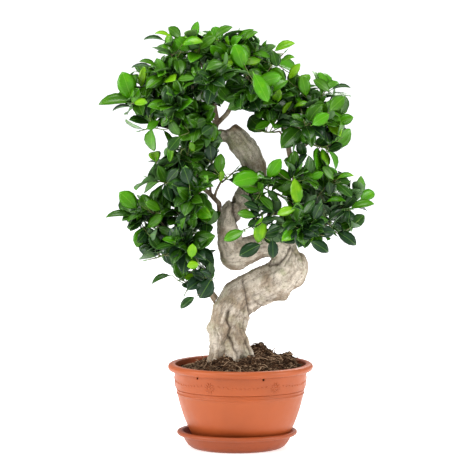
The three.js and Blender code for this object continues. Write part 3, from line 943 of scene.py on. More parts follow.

# creases on the trunk's front as (points (x, z), depth, width, darkness), all but darkness in millimetres;
# the darkness is painted shade in the crease
creases = [
    ([(5, 290), (8, 276), (9, 262), (13, 246), (17, 228)], 3.4, 2.6, 0.9),
    ([(9, 262), (2, 250), (-1, 238)], 1.6, 2.0, 0.5),
    (
        [(-21, 238), (-26, 224), (-19, 210), (-22, 195), (-13, 184), (-11, 174), (-3, 166), (-4, 150)],
        4.6, 3.1, 0.95,
    ),
    ([(-22, 195), (-29, 183), (-26, 170), (-31, 156)], 2.6, 2.3, 0.8),
    ([(8, 224), (4, 209), (11, 196), (8, 184), (16, 172), (18, 158)], 3.2, 2.5, 0.8),
    ([(-43, 208), (-38, 195), (-42, 181), (-36, 167), (-38, 154)], 2.4, 2.1, 0.7),
    ([(49, 317), (61, 320), (73, 328), (80, 338), (85, 348)], 3.6, 2.8, 1.0),
    ([(61, 320), (58, 306), (55, 292)], 1.4, 1.8, 0.5),
    ([(100, 330), (97, 312), (88, 300)], 1.3, 2.0, 0.45),
    ([(88, 345), (95, 332), (94, 318)], 1.6, 1.8, 0.6),
    ([(-14, 430), (-11, 414), (-7, 399), (-1, 386), (4, 378)], 7.5, 4.4, 1.0),
    ([(-33, 541), (-20, 536), (-8, 532), (2, 531)], 1.3, 1.4, 0.5),
    ([(20, 262), (27, 250), (38, 243)], 1.5, 1.8, 0.6),
    ([(31, 268), (36, 258), (48, 252), (60, 258)], 1.2, 1.8, 0.5),
    ([(-45, 200), (-36, 196), (-28, 199)], 1.0, 1.6, 0.4),
    ([(-2, 214), (2, 196), (10, 180), (18, 166)], 1.8, 2.2, 0.55),
    ([(15, 340), (24, 335), (34, 337)], 0.9, 1.6, 0.35),
    ([(-28, 350), (-20, 343), (-10, 342)], 0.9, 1.6, 0.35),
    ([(90, 349), (86, 332), (76, 318)], 2.2, 1.8, 0.7),
    ([(97, 346), (104, 331), (108, 316)], 1.6, 1.6, 0.6),
    ([(-38, 190), (-36, 176), (-41, 160)], 1.4, 1.8, 0.5),
    ([(-51, 180), (-47, 166), (-49, 150)], 1.2, 1.6, 0.5),
    ([(5, 182), (8, 168), (15, 154)], 1.6, 1.8, 0.6),
    ([(-30, 218), (-35, 206), (-31, 195)], 1.1, 1.5, 0.45),
    ([(12, 252), (4, 241), (7, 226)], 1.4, 1.6, 0.5),
    ([(-10, 262), (-16, 250), (-14, 238)], 1.1, 1.5, 0.4),
    ([(-22, 199), (-30, 190), (-33, 180)], 1.6, 1.6, 0.6),
    ([(48, 300), (44, 290), (34, 284)], 1.2, 1.5, 0.45),
    ([(72, 296), (66, 282), (56, 274)], 1.3, 1.6, 0.5),
    ([(104, 300), (96, 288), (90, 272)], 1.3, 1.6, 0.45),
]

# knobs and swellings as (x, y, z, reach, height), millimetres
knobs = [
    (73, -8, 262, 9, 6.0), (104, -6, 280, 10, 4.0), (112, 0, 320, 12, 2.5), (-14, -26, 232, 16, 3.2),
    (-38, -22, 205, 15, 2.5), (6, -24, 190, 11, 2.2), (45, -33, 285, 18, 2.4), (-22, -18, 322, 14, 2.5),
    (-34, -6, 520, 8, 2.5), (22, -19, 300, 12, 2.0), (95, -20, 345, 10, 3.0),
]


def turbulence(point, octaves):
    value, size, total = 0.0, 1.0, 0.0
    for _ in range(octaves):
        value += noise.noise(point / size) * size
        total += size
        size *= 0.5
    return value / total


def nearestOnLine(line, x, z):
    # how far a place is from the line, how far along the line that is, and how far to its side
    best = (1e9, 0.0, 0.0)
    run = 0.0
    for (ax, az), (bx, bz) in zip(line, line[1:]):
        dx, dz = bx - ax, bz - az
        length = math.hypot(dx, dz)
        share = clamp(((x - ax) * dx + (z - az) * dz) / (length * length))
        gap = math.hypot(x - ax - dx * share, z - az - dz * share)
        if gap < best[0]:
            best = (gap, run + length * share, (dz * (x - ax) - dx * (z - az)) / length)
        run += length
    return best


def makeTrunk():
    t = trunkShape
    piece = remeshed("trunk_bark", "trunk", t["voxel"], t["smoothing"])
    mesh = piece.data
    crease, moss, sawn, grain = [], [], [], []
    moved = []
    for vertex in mesh.vertices:
        at = vertex.co / mm
        _, run, side = nearestOnLine(heartLine, at.x, at.z)
        around = math.atan2(at.y, side)
        # grain runs along the trunk, so it is stretched that way
        stretched = Vector((run / 60, math.cos(around) * 3.0, math.sin(around) * 3.0))
        ridged = turbulence(stretched + Vector((7, 3, 1)), 4)
        lump = turbulence(at / 30 + Vector((2, 5, 9)), 3)
        ringed = turbulence(Vector((run / 6.5, math.cos(around) * 1.4, math.sin(around) * 1.4)), 3)
        pitted = turbulence(at / 4.5, 2)
        # narrow furrows between the ridges, pressed in and given painted shade
        furrow = max(0.0, t["furrowWidth"] - abs(ridged + t["furrowWidth"])) / t["furrowWidth"]
        push = lump * t["lump"] + ridged * t["ridge"] + ringed * t["wrinkle"]
        push += pitted * t["pit"] - furrow**2 * t["furrow"]
        for x, y, z, reach, height in knobs:
            away = (at - Vector((x, y, z))).length
            if away < reach * 2.2:
                push += height * mm * math.exp(-((away / reach) ** 2))
        # painted shade: darker in the hollows between ridges, in the furrows and in the ring wrinkles
        paintedShade = max(0.0, -ridged - 0.2) * 1.1 + 0.42 * furrow**3 + max(0.0, -ringed - 0.3) * 0.8
        if at.y < t["creasedBefore"]:
            for line, depth, width, shade in creases:
                near = nearestOnLine(line, at.x + lump * 5 + pitted * 1.2, at.z + ridged * 3)[0]
                if near < width * 3.2:
                    cut = math.exp(-((near / width) ** 2))
                    push -= depth * mm * cut
                    # the creases' painted shade, stronger in some places along them than in others
                    patchy = 0.72 + 0.5 * turbulence(at / 8 + Vector((1, 8, 3)), 2)
                    paintedShade = max(paintedShade, shade * patchy * math.exp(-((near / (width * 0.7)) ** 2)))
        crease.append(min(1.0, paintedShade))
        mossy = any(low < at.z < high for low, high in t["mossBelts"])
        moss.append(t["mossy"] if mossy else t["clean"])
        sawn.append(clamp((at.z - t["sawnFrom"]) / t["sawnOver"]) * t["sawnShare"])
        grain.append((run * mm * 12, math.cos(around) * 0.5, math.sin(around) * 0.5))
        moved.extend(vertex.co + vertex.normal * push)
    mesh.vertices.foreach_set("co", moved)
    mesh.update()
    writeAttribute(mesh, "crease", crease)
    writeAttribute(mesh, "moss", moss)
    writeAttribute(mesh, "sawn", sawn)
    writeAttribute(mesh, "grain", grain, "FLOAT_VECTOR")
    mesh.materials.append(trunkPaint)
    finish(piece, "bark", "trunk")
    print("trunk:", len(mesh.polygons), "faces")


makeTrunk()


# the branches

branchShape = {"voxel": 0.00078, "smoothing": 4, "knot": 0.00035, "knotSize": 4.5, "skin": 0.00025}


def makeBranches():
    for node in sorted(n for n in nodes if n.startswith("branch_")):
        piece = remeshed(node + "_bark", node, branchShape["voxel"], branchShape["smoothing"])
        mesh = piece.data
        moved = []
        for vertex in mesh.vertices:
            push = turbulence(vertex.co / mm / branchShape["knotSize"], 2) * branchShape["knot"]
            push += branchShape["skin"]
            moved.extend(vertex.co + vertex.normal * push)
        mesh.vertices.foreach_set("co", moved)
        mesh.update()
        mesh.materials.append(branchPaint)
        finish(piece, "twig", node)
        print(node, len(mesh.polygons), "faces")


makeBranches()


# the leafy shoots

bladeShape = {
    # (share of the length, half width, share of the way up the arch)
    "stations": [
        (0.0, 0.03, 0.0), (0.10, 0.036, 0.5), (0.19, 0.22, 0.75), (0.36, 0.42, 1.0), (0.57, 0.5, 1.0),
        (0.77, 0.43, 0.65), (0.92, 0.23, 0.1), (1.0, 0.03, -0.4),
    ],
    "columns": (-1.0, -0.52, 0.0, 0.52, 1.0),
    "thickness": 0.013,
    "archHeight": 0.065,
    # each kind of leaf: fold along the midrib, wave of the edge, extra curl of the tip, sideways bend
    "kinds": [
        (0.10, 0.0, 0.0, 0.0), (0.22, 0.012, -0.06, 0.03),
        (0.04, -0.014, 0.03, -0.05), (0.16, 0.014, -0.12, 0.06),
    ],
}


def bladeMesh(name, fold, wave, curl, bend):
    shape = bmesh.new()
    uvLayer = shape.loops.layers.uv.new("blade")
    underLayer = shape.faces.layers.float.new("under")
    columns = bladeShape["columns"]
    top, bottom, uv = [], [], {}
    for along, half, arch in bladeShape["stations"]:
        upper, lower = [], []
        for column in columns:
            y = column * half + bend * math.sin(math.pi * along)
            folded = (abs(column) ** 1.3) * half * fold
            waved = wave * math.sin(along * 9 + column * 2) * abs(column) * half * 2
            z = arch * bladeShape["archHeight"] + curl * along**2.5 + (folded + waved)
            vertex = shape.verts.new((along, y, z))
            upper.append(vertex)
            uv[vertex] = (along, 0.5 + column * half)
            if abs(column) == 1.0:
                lower.append(vertex)
            else:
                depth = bladeShape["thickness"] * (2.2 if column == 0 else 1.0)
                below = shape.verts.new((along, y, z - depth))
                uv[below] = uv[vertex]
                lower.append(below)
        top.append(upper)
        bottom.append(lower)
    for rows, under in ((top, 0.0), (bottom, 1.0)):
        for i in range(len(rows) - 1):
            for j in range(len(columns) - 1):
                a, b, c, d = rows[i][j], rows[i + 1][j], rows[i + 1][j + 1], rows[i][j + 1]
                # both sides start at the same corner, so their diagonals lie on each other
                face = shape.faces.new((a, d, c, b) if under else (a, b, c, d))
                face[underLayer] = under
    for i in (0, len(top) - 1):
        face = shape.faces.new([top[i][0], *bottom[i][1:-1], top[i][-1], *reversed(top[i][1:-1])])
        face[underLayer] = 1.0
    bmesh.ops.recalc_face_normals(shape, faces=shape.faces)
    for face in shape.faces:
        face.smooth = True
        for loop in face.loops:
            loop[uvLayer].uv = uv[loop.vert]
    mesh = bpy.data.meshes.new(name)
    shape.to_mesh(mesh)
    shape.free()
    mesh.materials.append(bladePaint)
    return mesh


def budMesh():
    shape = bmesh.new()
    uvLayer = shape.loops.layers.uv.new("blade")
    underLayer = shape.faces.layers.float.new("under")
    lying = Matrix.Translation((0.5, 0, 0)) @ Matrix.Rotation(math.pi / 2, 4, "Y")
    bmesh.ops.create_cone(
        shape, cap_ends=True, segments=6, radius1=0.5, radius2=0.03, depth=1.0, matrix=lying,
    )
    for face in shape.faces:
        face.smooth = True
        face[underLayer] = 0.0
        for loop in face.loops:
            loop[uvLayer].uv = (0.5, 0.25)
    mesh = bpy.data.meshes.new("bud")
    shape.to_mesh(mesh)
    shape.free()
    mesh.materials.append(bladePaint)
    return mesh


def shootTree():
    sizes = {"Leaf Size": 1.0, "Stem Girth": 1.0}
    finishes = {"Stem": "Material", "Leaf": "Material"}
    tree = NodeTree("leafyShoot", {"Leaves": "Collection", **sizes, **finishes})
    # stem: the shoot's edges, made round
    curve = tree.node("GeometryNodeMeshToCurve")
    tree.link(tree.start.outputs["Geometry"], curve.inputs["Mesh"])
    thick = tree.node("ShaderNodeMath", operation="MULTIPLY")
    tree.link(tree.named("stemRadius", "FLOAT"), thick.inputs[0])
    tree.link(tree.start.outputs["Stem Girth"], thick.inputs[1])
    section = tree.node("GeometryNodeCurvePrimitiveCircle")
    section.inputs["Resolution"].default_value = 7
    section.inputs["Radius"].default_value = 1.0
    tube = tree.node("GeometryNodeCurveToMesh")
    tube.inputs["Fill Caps"].default_value = True
    tree.link(curve.outputs["Curve"], tube.inputs["Curve"])
    tree.link(section.outputs["Curve"], tube.inputs["Profile Curve"])
    tree.link(thick.outputs[0], tube.inputs["Scale"])
    put = instancesOn(tree, "Leaves", "Leaf Size")
    both = tree.node("GeometryNodeJoinGeometry")
    tree.link(tree.finished(tube.outputs["Mesh"], "Stem"), both.inputs["Geometry"])
    tree.link(tree.finished(put, "Leaf"), both.inputs["Geometry"])
    tree.link(both.outputs["Geometry"], tree.end.inputs["Geometry"])
    return tree


# the frame's own leaf, in shares of its length and width
plainLeaf = {
    "section": 0.76,  # the way along to its last section
    "sectionRise": 0.05,
    "sectionWidth": 0.8,
    "tipReach": 0.2563,  # from that section's middle to the tip
    "widths": (0.010, 0.03),  # metres across that section, which tell a leaf's tip from other corners
    "reaches": (0.004, 0.02),
}


def cadLeaves(node):
    # a leaf's tip is a corner with three neighbours: the ends of its two edges and of its keel
    shape = bmesh.new()
    shape.from_mesh(nodes[node].data)
    bmesh.ops.remove_doubles(shape, verts=shape.verts, dist=2e-6)
    found = []
    for tip in shape.verts:
        if len(tip.link_edges) != 3:
            continue
        near = [e.other_vert(tip).co.copy() for e in tip.link_edges]
        pairs = [(0, 1, 2), (0, 2, 1), (1, 2, 0)]
        left, right, keel = max(pairs, key=lambda p: (near[p[0]] - near[p[1]]).length)
        width = (near[left] - near[right]).length
        if not plainLeaf["widths"][0] < width < plainLeaf["widths"][1]:
            continue
        middle = (near[left] + near[right]) / 2
        up = (middle - near[keel]).normalized()
        across = (near[left] - near[right]).normalized()
        out = tip.co - middle
        if not plainLeaf["reaches"][0] < out.length < plainLeaf["reaches"][1]:
            continue
        way = across.cross(up).normalized()
        if way.dot(out) < 0:
            way = -way
        length = out.length / plainLeaf["tipReach"]
        foot = middle - way * plainLeaf["section"] * length - up * plainLeaf["sectionRise"] * length
        width /= plainLeaf["sectionWidth"]
        found.append({"foot": foot, "way": way, "up": up, "length": length, "width": width})
    shape.free()
    return found


foliage = {
    "seed": 11,
    "lengthScale": 1.04,
    "widthScale": 1.24,
    "extraPerShoot": 5,
    "sideTwigs": 4,
    "thinPart": (62, 405, 66, 56),  # x, z, half width, half height of the part that needs more twigs
    "thinTwigs": 9,
    "leavesPerTwig": 6,
    "twigLength": (0.026, 0.052),
    "extraLength": (0.030, 0.043),
    "stemRadius": (0.0016, 0.0007),
    "triesPerTwig": 12,
    "openingsOnTwig": (82, 28),  # degrees between leaf and stem, at the stem's foot and at its tip
    "openingsOnStem": (80, 30),
    "twigReach": 0.9,  # how near its cloud's edge a twig may end
    "cloudSpare": 1.12,  # how far past its cloud one of the frame's own leaves may reach
    "tipBeyond": 0.004,  # how far the stem goes past its last leaf
    "budSize": (0.011, 0.0022, 0.0022),
    "goldenAngle": 137.5,
    "youngShare": 0.07,
    "overhang": 0.009,  # how far the tip of a leaf grown by chance may pass the frame's own box
    "gapDepth": 0.03,  # a leaf farther back than this may grow across a bare gap
    "middle": 0.55,  # the share of its length where a leaf hides most
    "clearBeside": 0.019,
    "clearBehind": 0.012,
    # a leaf's tone: what it starts from, what its height in the cloud, nearness to the cloud's edge and
    # level in the tree add to it, and what it loses behind the trunk; the gains are partly painted light on
    # the tree's top and outside and partly the young leaves' brighter green, and the loss is painted shade
    "tone": {"start": 0.34, "height": 0.16, "edge": 0.16, "level": 0.14, "behind": 0.08},
    "levelFrom": 0.45,
    "levelOver": 0.25,
    "behindFrom": 0.02,
    "toneSpread": (-0.27, 0.23),
}

# clouds of leaves as (x, z, half width, half height), and gaps as (x, z, x, z), millimetres
leafClouds = [
    (-44, 642, 118, 84), (-124, 612, 84, 56), (-150, 585, 50, 30), (112, 572, 80, 76), (-90, 482, 74, 56),
    (-122, 398, 84, 66), (-74, 322, 50, 52), (52, 438, 60, 52), (138, 424, 84, 62), (95, 385, 80, 32),
    (-72, 545, 50, 30), (10, 610, 60, 50),
]
bareGaps = [
    (-32, 482, 44, 572), (-26, 325, 6, 440), (-42, 120, 130, 340), (40, 490, 74, 556),
    (-225, 440, -160, 545), (-20, 560, 30, 580), (-225, 200, -120, 285), (-165, 436, -135, 470),
]

# leaves placed one by one as (foot x, foot z, tip x, tip z, width, tone, how far it faces forwards), in
# millimetres but for the last two
showLeaves = [
    (34, 416, 6, 428, 16, 0.20, 0.7), (36, 408, 6, 405, 16, 0.14, 0.6), (40, 400, 12, 390, 16, 0.28, 0.8),
    (44, 424, 20, 441, 16, 0.36, 0.7), (58, 412, 32, 421, 16, 0.22, 0.6),
    (60, 402, 36, 396, 15, 0.28, 0.8), (70, 392, 46, 383, 15, 0.18, 0.5),
    (64, 430, 46, 448, 15, 0.42, 0.7), (-184, 597, -200, 648, 34, 0.86, 0.95),
    (-175, 598, -240, 596, 24, 0.60, 0.6), (-170, 617, -163, 656, 14, 0.98, 0.7),
    (-183, 588, -217, 585, 18, 0.25, 0.1), (-137, 566, -158, 551, 15, 0.82, 0.8),
    (-117, 706, -144, 715, 13, 1.0, 0.4), (-100, 704, -122, 723, 19, 0.55, 0.8),
    (-127, 700, -163, 706, 14, 0.35, 0.2), (-86, 680, -111, 706, 24, 0.80, 0.8),
    (-141, 656, -170, 668, 15, 0.60, 0.4), (-146, 654, -184, 659, 14, 0.25, 0.1),
    (-45, 703, -15, 724, 16, 0.62, 0.6), (6, 652, -10, 697, 31, 0.86, 0.95),
    (20, 653, 46, 602, 27, 0.86, 0.9), (37, 668, 8, 662, 18, 0.92, 0.7),
    (54, 669, 20, 678, 16, 0.75, 0.5), (56, 680, 91, 697, 17, 1.0, 0.6),
    (68, 664, 91, 673, 12, 0.92, 0.5), (81, 632, 101, 661, 15, 0.98, 0.7),
    (112, 603, 104, 640, 22, 0.75, 0.8), (153, 611, 124, 633, 20, 0.60, 0.7),
    (153, 615, 186, 622, 12, 0.30, 0.3), (149, 584, 175, 610, 23, 0.62, 0.8),
    (119, 560, 149, 580, 22, 0.86, 0.85), (163, 560, 191, 571, 20, 0.76, 0.8),
    (71, 572, 86, 597, 11, 1.0, 0.5), (88, 584, 117, 594, 13, 0.92, 0.5),
    (54, 563, 25, 551, 17, 0.75, 0.7), (148, 512, 173, 524, 18, 0.30, 0.7),
    (37, 474, -13, 464, 31, 0.82, 0.9), (44, 467, 68, 503, 23, 0.86, 0.85),
    (90, 474, 97, 428, 22, 0.96, 0.9), (95, 420, 62, 411, 18, 0.96, 0.7),
    (28, 440, 55, 417, 17, 0.62, 0.6), (26, 405, -5, 412, 18, 0.62, 0.7),
    (38, 409, 29, 361, 23, 0.94, 0.9), (8, 383, -28, 367, 20, 0.75, 0.7),
    (37, 360, -2, 340, 24, 0.18, 0.8), (54, 368, 55, 335, 19, 0.12, 0.9),
    (158, 464, 139, 488, 18, 0.62, 0.7), (161, 465, 191, 474, 13, 0.88, 0.5),
    (153, 438, 149, 462, 18, 0.20, 0.9), (143, 426, 178, 431, 13, 0.82, 0.5),
    (184, 414, 226, 426, 18, 0.70, 0.6), (161, 379, 196, 356, 22, 0.16, 0.7),
    (115, 369, 148, 350, 22, 0.16, 0.7), (-175, 414, -205, 444, 29, 0.82, 0.9),
    (-180, 402, -228, 404, 16, 0.45, 0.5), (-134, 412, -161, 428, 20, 0.66, 0.7),
    (-160, 381, -132, 405, 20, 0.70, 0.7), (-83, 336, -81, 362, 17, 0.96, 0.9),
    (-69, 327, -90, 324, 16, 1.0, 0.8), (-47, 302, -69, 266, 31, 0.10, 0.9),
    (-76, 270, -102, 251, 16, 0.25, 0.6), (-117, 302, -151, 290, 15, 0.30, 0.4),
    (-86, 460, -96, 491, 24, 0.15, 0.9), (-35, 460, -30, 482, 11, 0.96, 0.7),
    (-49, 494, -52, 524, 24, 0.10, 0.9), (-78, 512, -86, 529, 13, 0.96, 0.7),
    (-119, 529, -120, 495, 12, 0.92, 0.5), (-101, 543, -121, 519, 22, 0.32, 0.8),
    (-44, 560, -65, 546, 20, 0.25, 0.8), (6, 700, 28, 717, 14, 0.70, 0.5),
    (54, 683, 62, 656, 20, 0.38, 0.8), (-73, 683, -42, 708, 21, 0.62, 0.7),
    (-60, 655, -30, 668, 22, 0.50, 0.6),
]


def cloudPlace(x, z):
    # how high a point lies in its cloud of leaves, and how near that cloud's edge
    best = (0.0, 9.0)
    for cx, cz, halfWidth, halfHeight in leafClouds:
        reach = math.hypot((x / mm - cx) / halfWidth, (z / mm - cz) / halfHeight)
        if reach < best[1]:
            best = ((z / mm - cz) / halfHeight, reach)
    return best


def canGrow(foot, tip):
    middle = foot.lerp(tip, 0.6)
    if cloudPlace(tip.x, tip.z)[1] > 1.0:
        return False
    spare = foliage["overhang"]
    for i in range(3):
        if not cadBox[0][i] - spare < tip[i] < cadBox[1][i] + spare:
            return False
    if middle.y > foliage["gapDepth"]:
        return True
    for x0, z0, x1, z1 in bareGaps:
        for point in (middle, tip):
            if x0 < point.x / mm < x1 and z0 < point.z / mm < z1:
                return False
    return True


# a leaf's tone: its age, with painted light on the tree's top and outside and painted shade low in it and
# behind the trunk
def leafTone(point, chance):
    high, edge = cloudPlace(point.x, point.z)
    if chance.random() < foliage["youngShare"] and edge > 0.4:
        return chance.uniform(0.8, 1.0)
    parts = foliage["tone"]
    tone = parts["start"] + parts["height"] * high + parts["edge"] * min(1.0, edge)
    tone += parts["level"] * (point.z - foliage["levelFrom"]) / foliage["levelOver"]
    # painted shade on leaves behind the trunk
    if point.y > foliage["behindFrom"]:
        tone -= parts["behind"]
    return tone + chance.uniform(*foliage["toneSpread"])


def leafTip(leaf):
    return leaf["at"] + Euler(leaf["turn"]).to_matrix() @ Vector((leaf["size"][0], 0, 0))


def hidesShown(foot, tip, shown):
    # a leaf that would cut through a leaf placed one by one, or hang before it
    middle = foot.lerp(tip, foliage["middle"])
    for place in shown:
        gap = math.hypot(middle.x - place.x, middle.z - place.z)
        if gap < foliage["clearBeside"] and middle.y < place.y + foliage["clearBehind"]:
            return True
    return False


def tilted(way, chance, most):
    axis = Vector((chance.uniform(-1, 1), chance.uniform(-1, 1), chance.uniform(-1, 1))).normalized()
    return Matrix.Rotation(math.radians(chance.uniform(-most, most)), 3, axis) @ way


def leavesAlong(axis, count, chance, openings, lengths):
    made = []
    turn = chance.uniform(0, 2 * math.pi)
    for i in range(count):
        share = 0.12 + 0.87 * (i + chance.uniform(0.1, 0.9)) / count
        place = min(share, 0.999) * (len(axis) - 1)
        k = int(place)
        at = axis[k].lerp(axis[k + 1], place - k)
        stem = (axis[k + 1] - axis[k]).normalized()
        side = Vector((0, 0, 1)).cross(stem)
        side = side.normalized() if side.length > 0.1 else Vector((1, 0, 0))
        turn += math.radians(foliage["goldenAngle"]) + chance.uniform(-0.5, 0.5)
        outward = Matrix.Rotation(turn, 3, stem) @ side
        opening = math.radians(openings[0] + (openings[1] - openings[0]) * share + chance.uniform(-10, 10))
        way = tilted(stem * math.cos(opening) + outward * math.sin(opening), chance, 14)
        facing = stem * math.sin(opening) - outward * math.cos(opening)
        stray = Vector((chance.uniform(-0.3, 0.3), chance.uniform(-0.3, 0.3), 0))
        up = facing + Vector((0, -0.4, 0.9)) + stray
        length = chance.uniform(*lengths) * (0.82 if share > 0.88 else 1.0)
        tip = at + way * length
        if canGrow(at, tip):
            size = (length, length * chance.uniform(0.54, 0.66), length)
            made.append(leafEntry(at, way, up, size, leafTone(tip, chance), chance.randrange(4)))
    return made


def growTwigs(axis, chance):
    # short side twigs fill the cloud between one shoot and the next
    twigs, leaves = [], []
    x, z, halfWidth, halfHeight = foliage["thinPart"]
    thin = math.hypot((axis[1].x / mm - x) / halfWidth, (axis[1].z / mm - z) / halfHeight) < 1
    for _ in range(foliage["thinTwigs" if thin else "sideTwigs"]):
        for _ in range(foliage["triesPerTwig"]):
            place = chance.uniform(0.0, 0.8) * (len(axis) - 1)
            k = min(int(place), len(axis) - 2)
            at = axis[k].lerp(axis[k + 1], place - k)
            stem = (axis[k + 1] - axis[k]).normalized()
            away = Vector((chance.gauss(0, 1), chance.gauss(-0.15, 1), chance.gauss(0.2, 0.8))).normalized()
            way = (away + stem * 0.35).normalized()
            length = chance.uniform(*foliage["twigLength"])
            end = at + way * length
            if canGrow(at, end) and cloudPlace(end.x, end.z)[1] < foliage["twigReach"]:
                break
        else:
            continue
        bent = at.lerp(end, 0.5) + Vector((0, 0, -0.06 * length))
        twig = [at, bent, end]
        twigs.append(twig)
        openings, lengths = foliage["openingsOnTwig"], foliage["extraLength"]
        leaves += leavesAlong(twig, foliage["leavesPerTwig"], chance, openings, lengths)
    return twigs, leaves


def shootAxis(grown, twigTree):
    # the stem starts on the nearest twig and passes through the feet of three of the shoot's leaves
    low = min((leaf["foot"] for leaf in grown), key=lambda foot: twigTree.find(foot)[2])
    order = sorted(grown, key=lambda leaf: (leaf["foot"] - low).length)
    last = order[-1]["foot"]
    middle = order[len(order) // 2]["foot"]
    tip = last + (last - middle).normalized() * foliage["tipBeyond"]
    return [twigTree.find(low)[0], low, middle, last, tip], order


# how the leaves placed one by one stand, in metres but for the first two
handPlaced = {
    "depthWeight": 0.3,  # the farther back a stem is, the less it is chosen
    "front": -90,  # millimetres
    "forward": 0.019,
    "pastBox": 0.002,
    "tipForward": 0.006,
    "stalkSag": (0, 0.002, -0.003),
}


def placeShowLeaves(axes):
    h = handPlaced
    placed = {name: ([], []) for name in axes}
    for x0, z0, x1, z1, width, tone, facing in showLeaves:
        best = (1e9, None, None)
        for name, axis in axes.items():
            for point in axis[1:]:
                gap = math.hypot(point.x / mm - x0, point.z / mm - z0)
                gap += h["depthWeight"] * (point.y / mm - h["front"])
                if gap < best[0]:
                    best = (gap, name, point)
        _, name, root = best
        forward = max(root.y - h["forward"], cadBox[0][1] - h["pastBox"])
        foot = Vector((x0 * mm, forward, z0 * mm))
        tip = Vector((x1 * mm, forward - h["tipForward"], z1 * mm))
        way = tip - foot
        up = Vector((0, 0, 1)).lerp(Vector((0.1, -1, 0.2)), facing)
        kind = 0 if facing > 0.6 else 1
        size = (way.length, width * mm, way.length)
        placed[name][0].append([root, root.lerp(foot, 0.6) + Vector(h["stalkSag"]), foot])
        placed[name][1].append(leafEntry(foot, way, up, size, tone, kind))
    return placed


def makeShoots():
    templates = [bladeMesh(f"blade{i}", *kind) for i, kind in enumerate(bladeShape["kinds"])] + [budMesh()]
    blades = templateCollection("blades", templates)
    tree = shootTree()
    limbs = [n for n in nodes if n.startswith("branch_")]
    twigTree = kdtree.KDTree(sum(len(nodes[n].data.vertices) for n in limbs))
    for i, point in enumerate(vertex.co for n in limbs for vertex in nodes[n].data.vertices):
        twigTree.insert(point, i)
    twigTree.balance()

    leafy = sorted(node for node in nodes if node.startswith("leaves_"))
    shoots = {node: shootAxis(cadLeaves(node), twigTree) for node in leafy}
    placed = placeShowLeaves({node: axis for node, (axis, _) in shoots.items()})
    byHand = [leaf for _, shown in placed.values() for leaf in shown]
    shownMiddles = [leaf["at"].lerp(leafTip(leaf), foliage["middle"]) for leaf in byHand]

    pieces = []
    total = 0
    for number, (node, (axis, order)) in enumerate(shoots.items()):
        chance = random.Random(foliage["seed"] * 1000 + number)
        leaves = []
        for leaf in order:
            way = tilted(leaf["way"], chance, 12)
            up = leaf["up"] + Vector((chance.uniform(-0.25, 0.25), chance.uniform(-0.4, 0.15), 0))
            length = leaf["length"] * foliage["lengthScale"]
            width = leaf["width"] * foliage["widthScale"] * chance.uniform(0.92, 1.08)
            tip = leaf["foot"] + way * length
            tone = leafTone(tip, chance)
            if cloudPlace(tip.x, tip.z)[1] > foliage["cloudSpare"]:
                continue
            size = (length, width, length)
            leaves.append(leafEntry(leaf["foot"], way, up, size, tone, chance.randrange(4)))
        openings, lengths = foliage["openingsOnStem"], foliage["extraLength"]
        leaves += leavesAlong(axis[1:], foliage["extraPerShoot"], chance, openings, lengths)
        twigs, twigLeaves = growTwigs(axis[1:4], chance)
        showTwigs, shown = placed[node]
        bud = leafEntry(axis[4], axis[4] - axis[3], Vector((0, -0.3, 1)), foliage["budSize"], 0.9, 4)
        leaves += twigLeaves
        leaves = [leaf for leaf in leaves if not hidesShown(leaf["at"], leafTip(leaf), shownMiddles)]
        leaves += [*shown, bud]
        stems = [axis, *twigs, *showTwigs]
        mesh = pointMesh(node, stems, leaves, *foliage["stemRadius"])
        piece = newPiece(node.replace("leaves_", "sprig_"), mesh)
        finishes = {"Stem": sprigStemPaint, "Leaf": bladePaint}
        tree.applyTo(piece, {"Leaves": blades, "Leaf Size": 1.0, "Stem Girth": 1.0, **finishes})
        pieces.append((piece, node))
        total += len(leaves)
    bakeModifiers([piece for piece, _ in pieces])
    for piece, node in pieces:
        finish(piece, "leaf", node)
    faces = sum(len(piece.data.polygons) for piece, _ in pieces)
    print("shoots:", len(pieces), "with", total, "leaves and buds;", faces, "faces")


makeShoots()


# the soil

soilShape = {
    "voxel": 0.0021,
    "clod": 0.0058,
    "crumb": 0.0032,
    "crumbs": 3400,
    "clods": 300,
    "fibres": 1900,
    "straws": 230,
    "reach": 109.2,  # millimetres from the middle, just inside the bowl's wall
    "belowRim": 0.0125,
    "skin": 0.006,  # the depth over which the top loosens
    "flatEdge": 108,  # millimetres from the middle, where the heaps have run out
    "edgeWidth": 6,
    "scatterRadius": 0.105,
    # loose earth heaped higher, as (x, y, rise, reach) in millimetres
    "heaps": [
        (28, 18, 8, 26), (54, 12, 7, 20), (84, 4, 15, 12), (-58, -12, 12, 20), (-22, -44, 15, 20),
        (16, -42, 15, 20),
        (46, -34, 9, 22), (-44, -40, 10, 16), (70, -20, 6, 20), (32, -26, 13, 17), (60, -32, 7, 18),
    ],
}


def crumbMesh(name, seed, material):
    chance = random.Random(seed)
    shape = bmesh.new()
    bmesh.ops.create_icosphere(shape, subdivisions=1, radius=0.5)
    for vertex in shape.verts:
        vertex.co *= chance.uniform(0.65, 1.15)
        vertex.co.z *= 0.8
    mesh = bpy.data.meshes.new(name)
    shape.to_mesh(mesh)
    shape.free()
    smoothShading(mesh)
    mesh.materials.append(material)
    return mesh


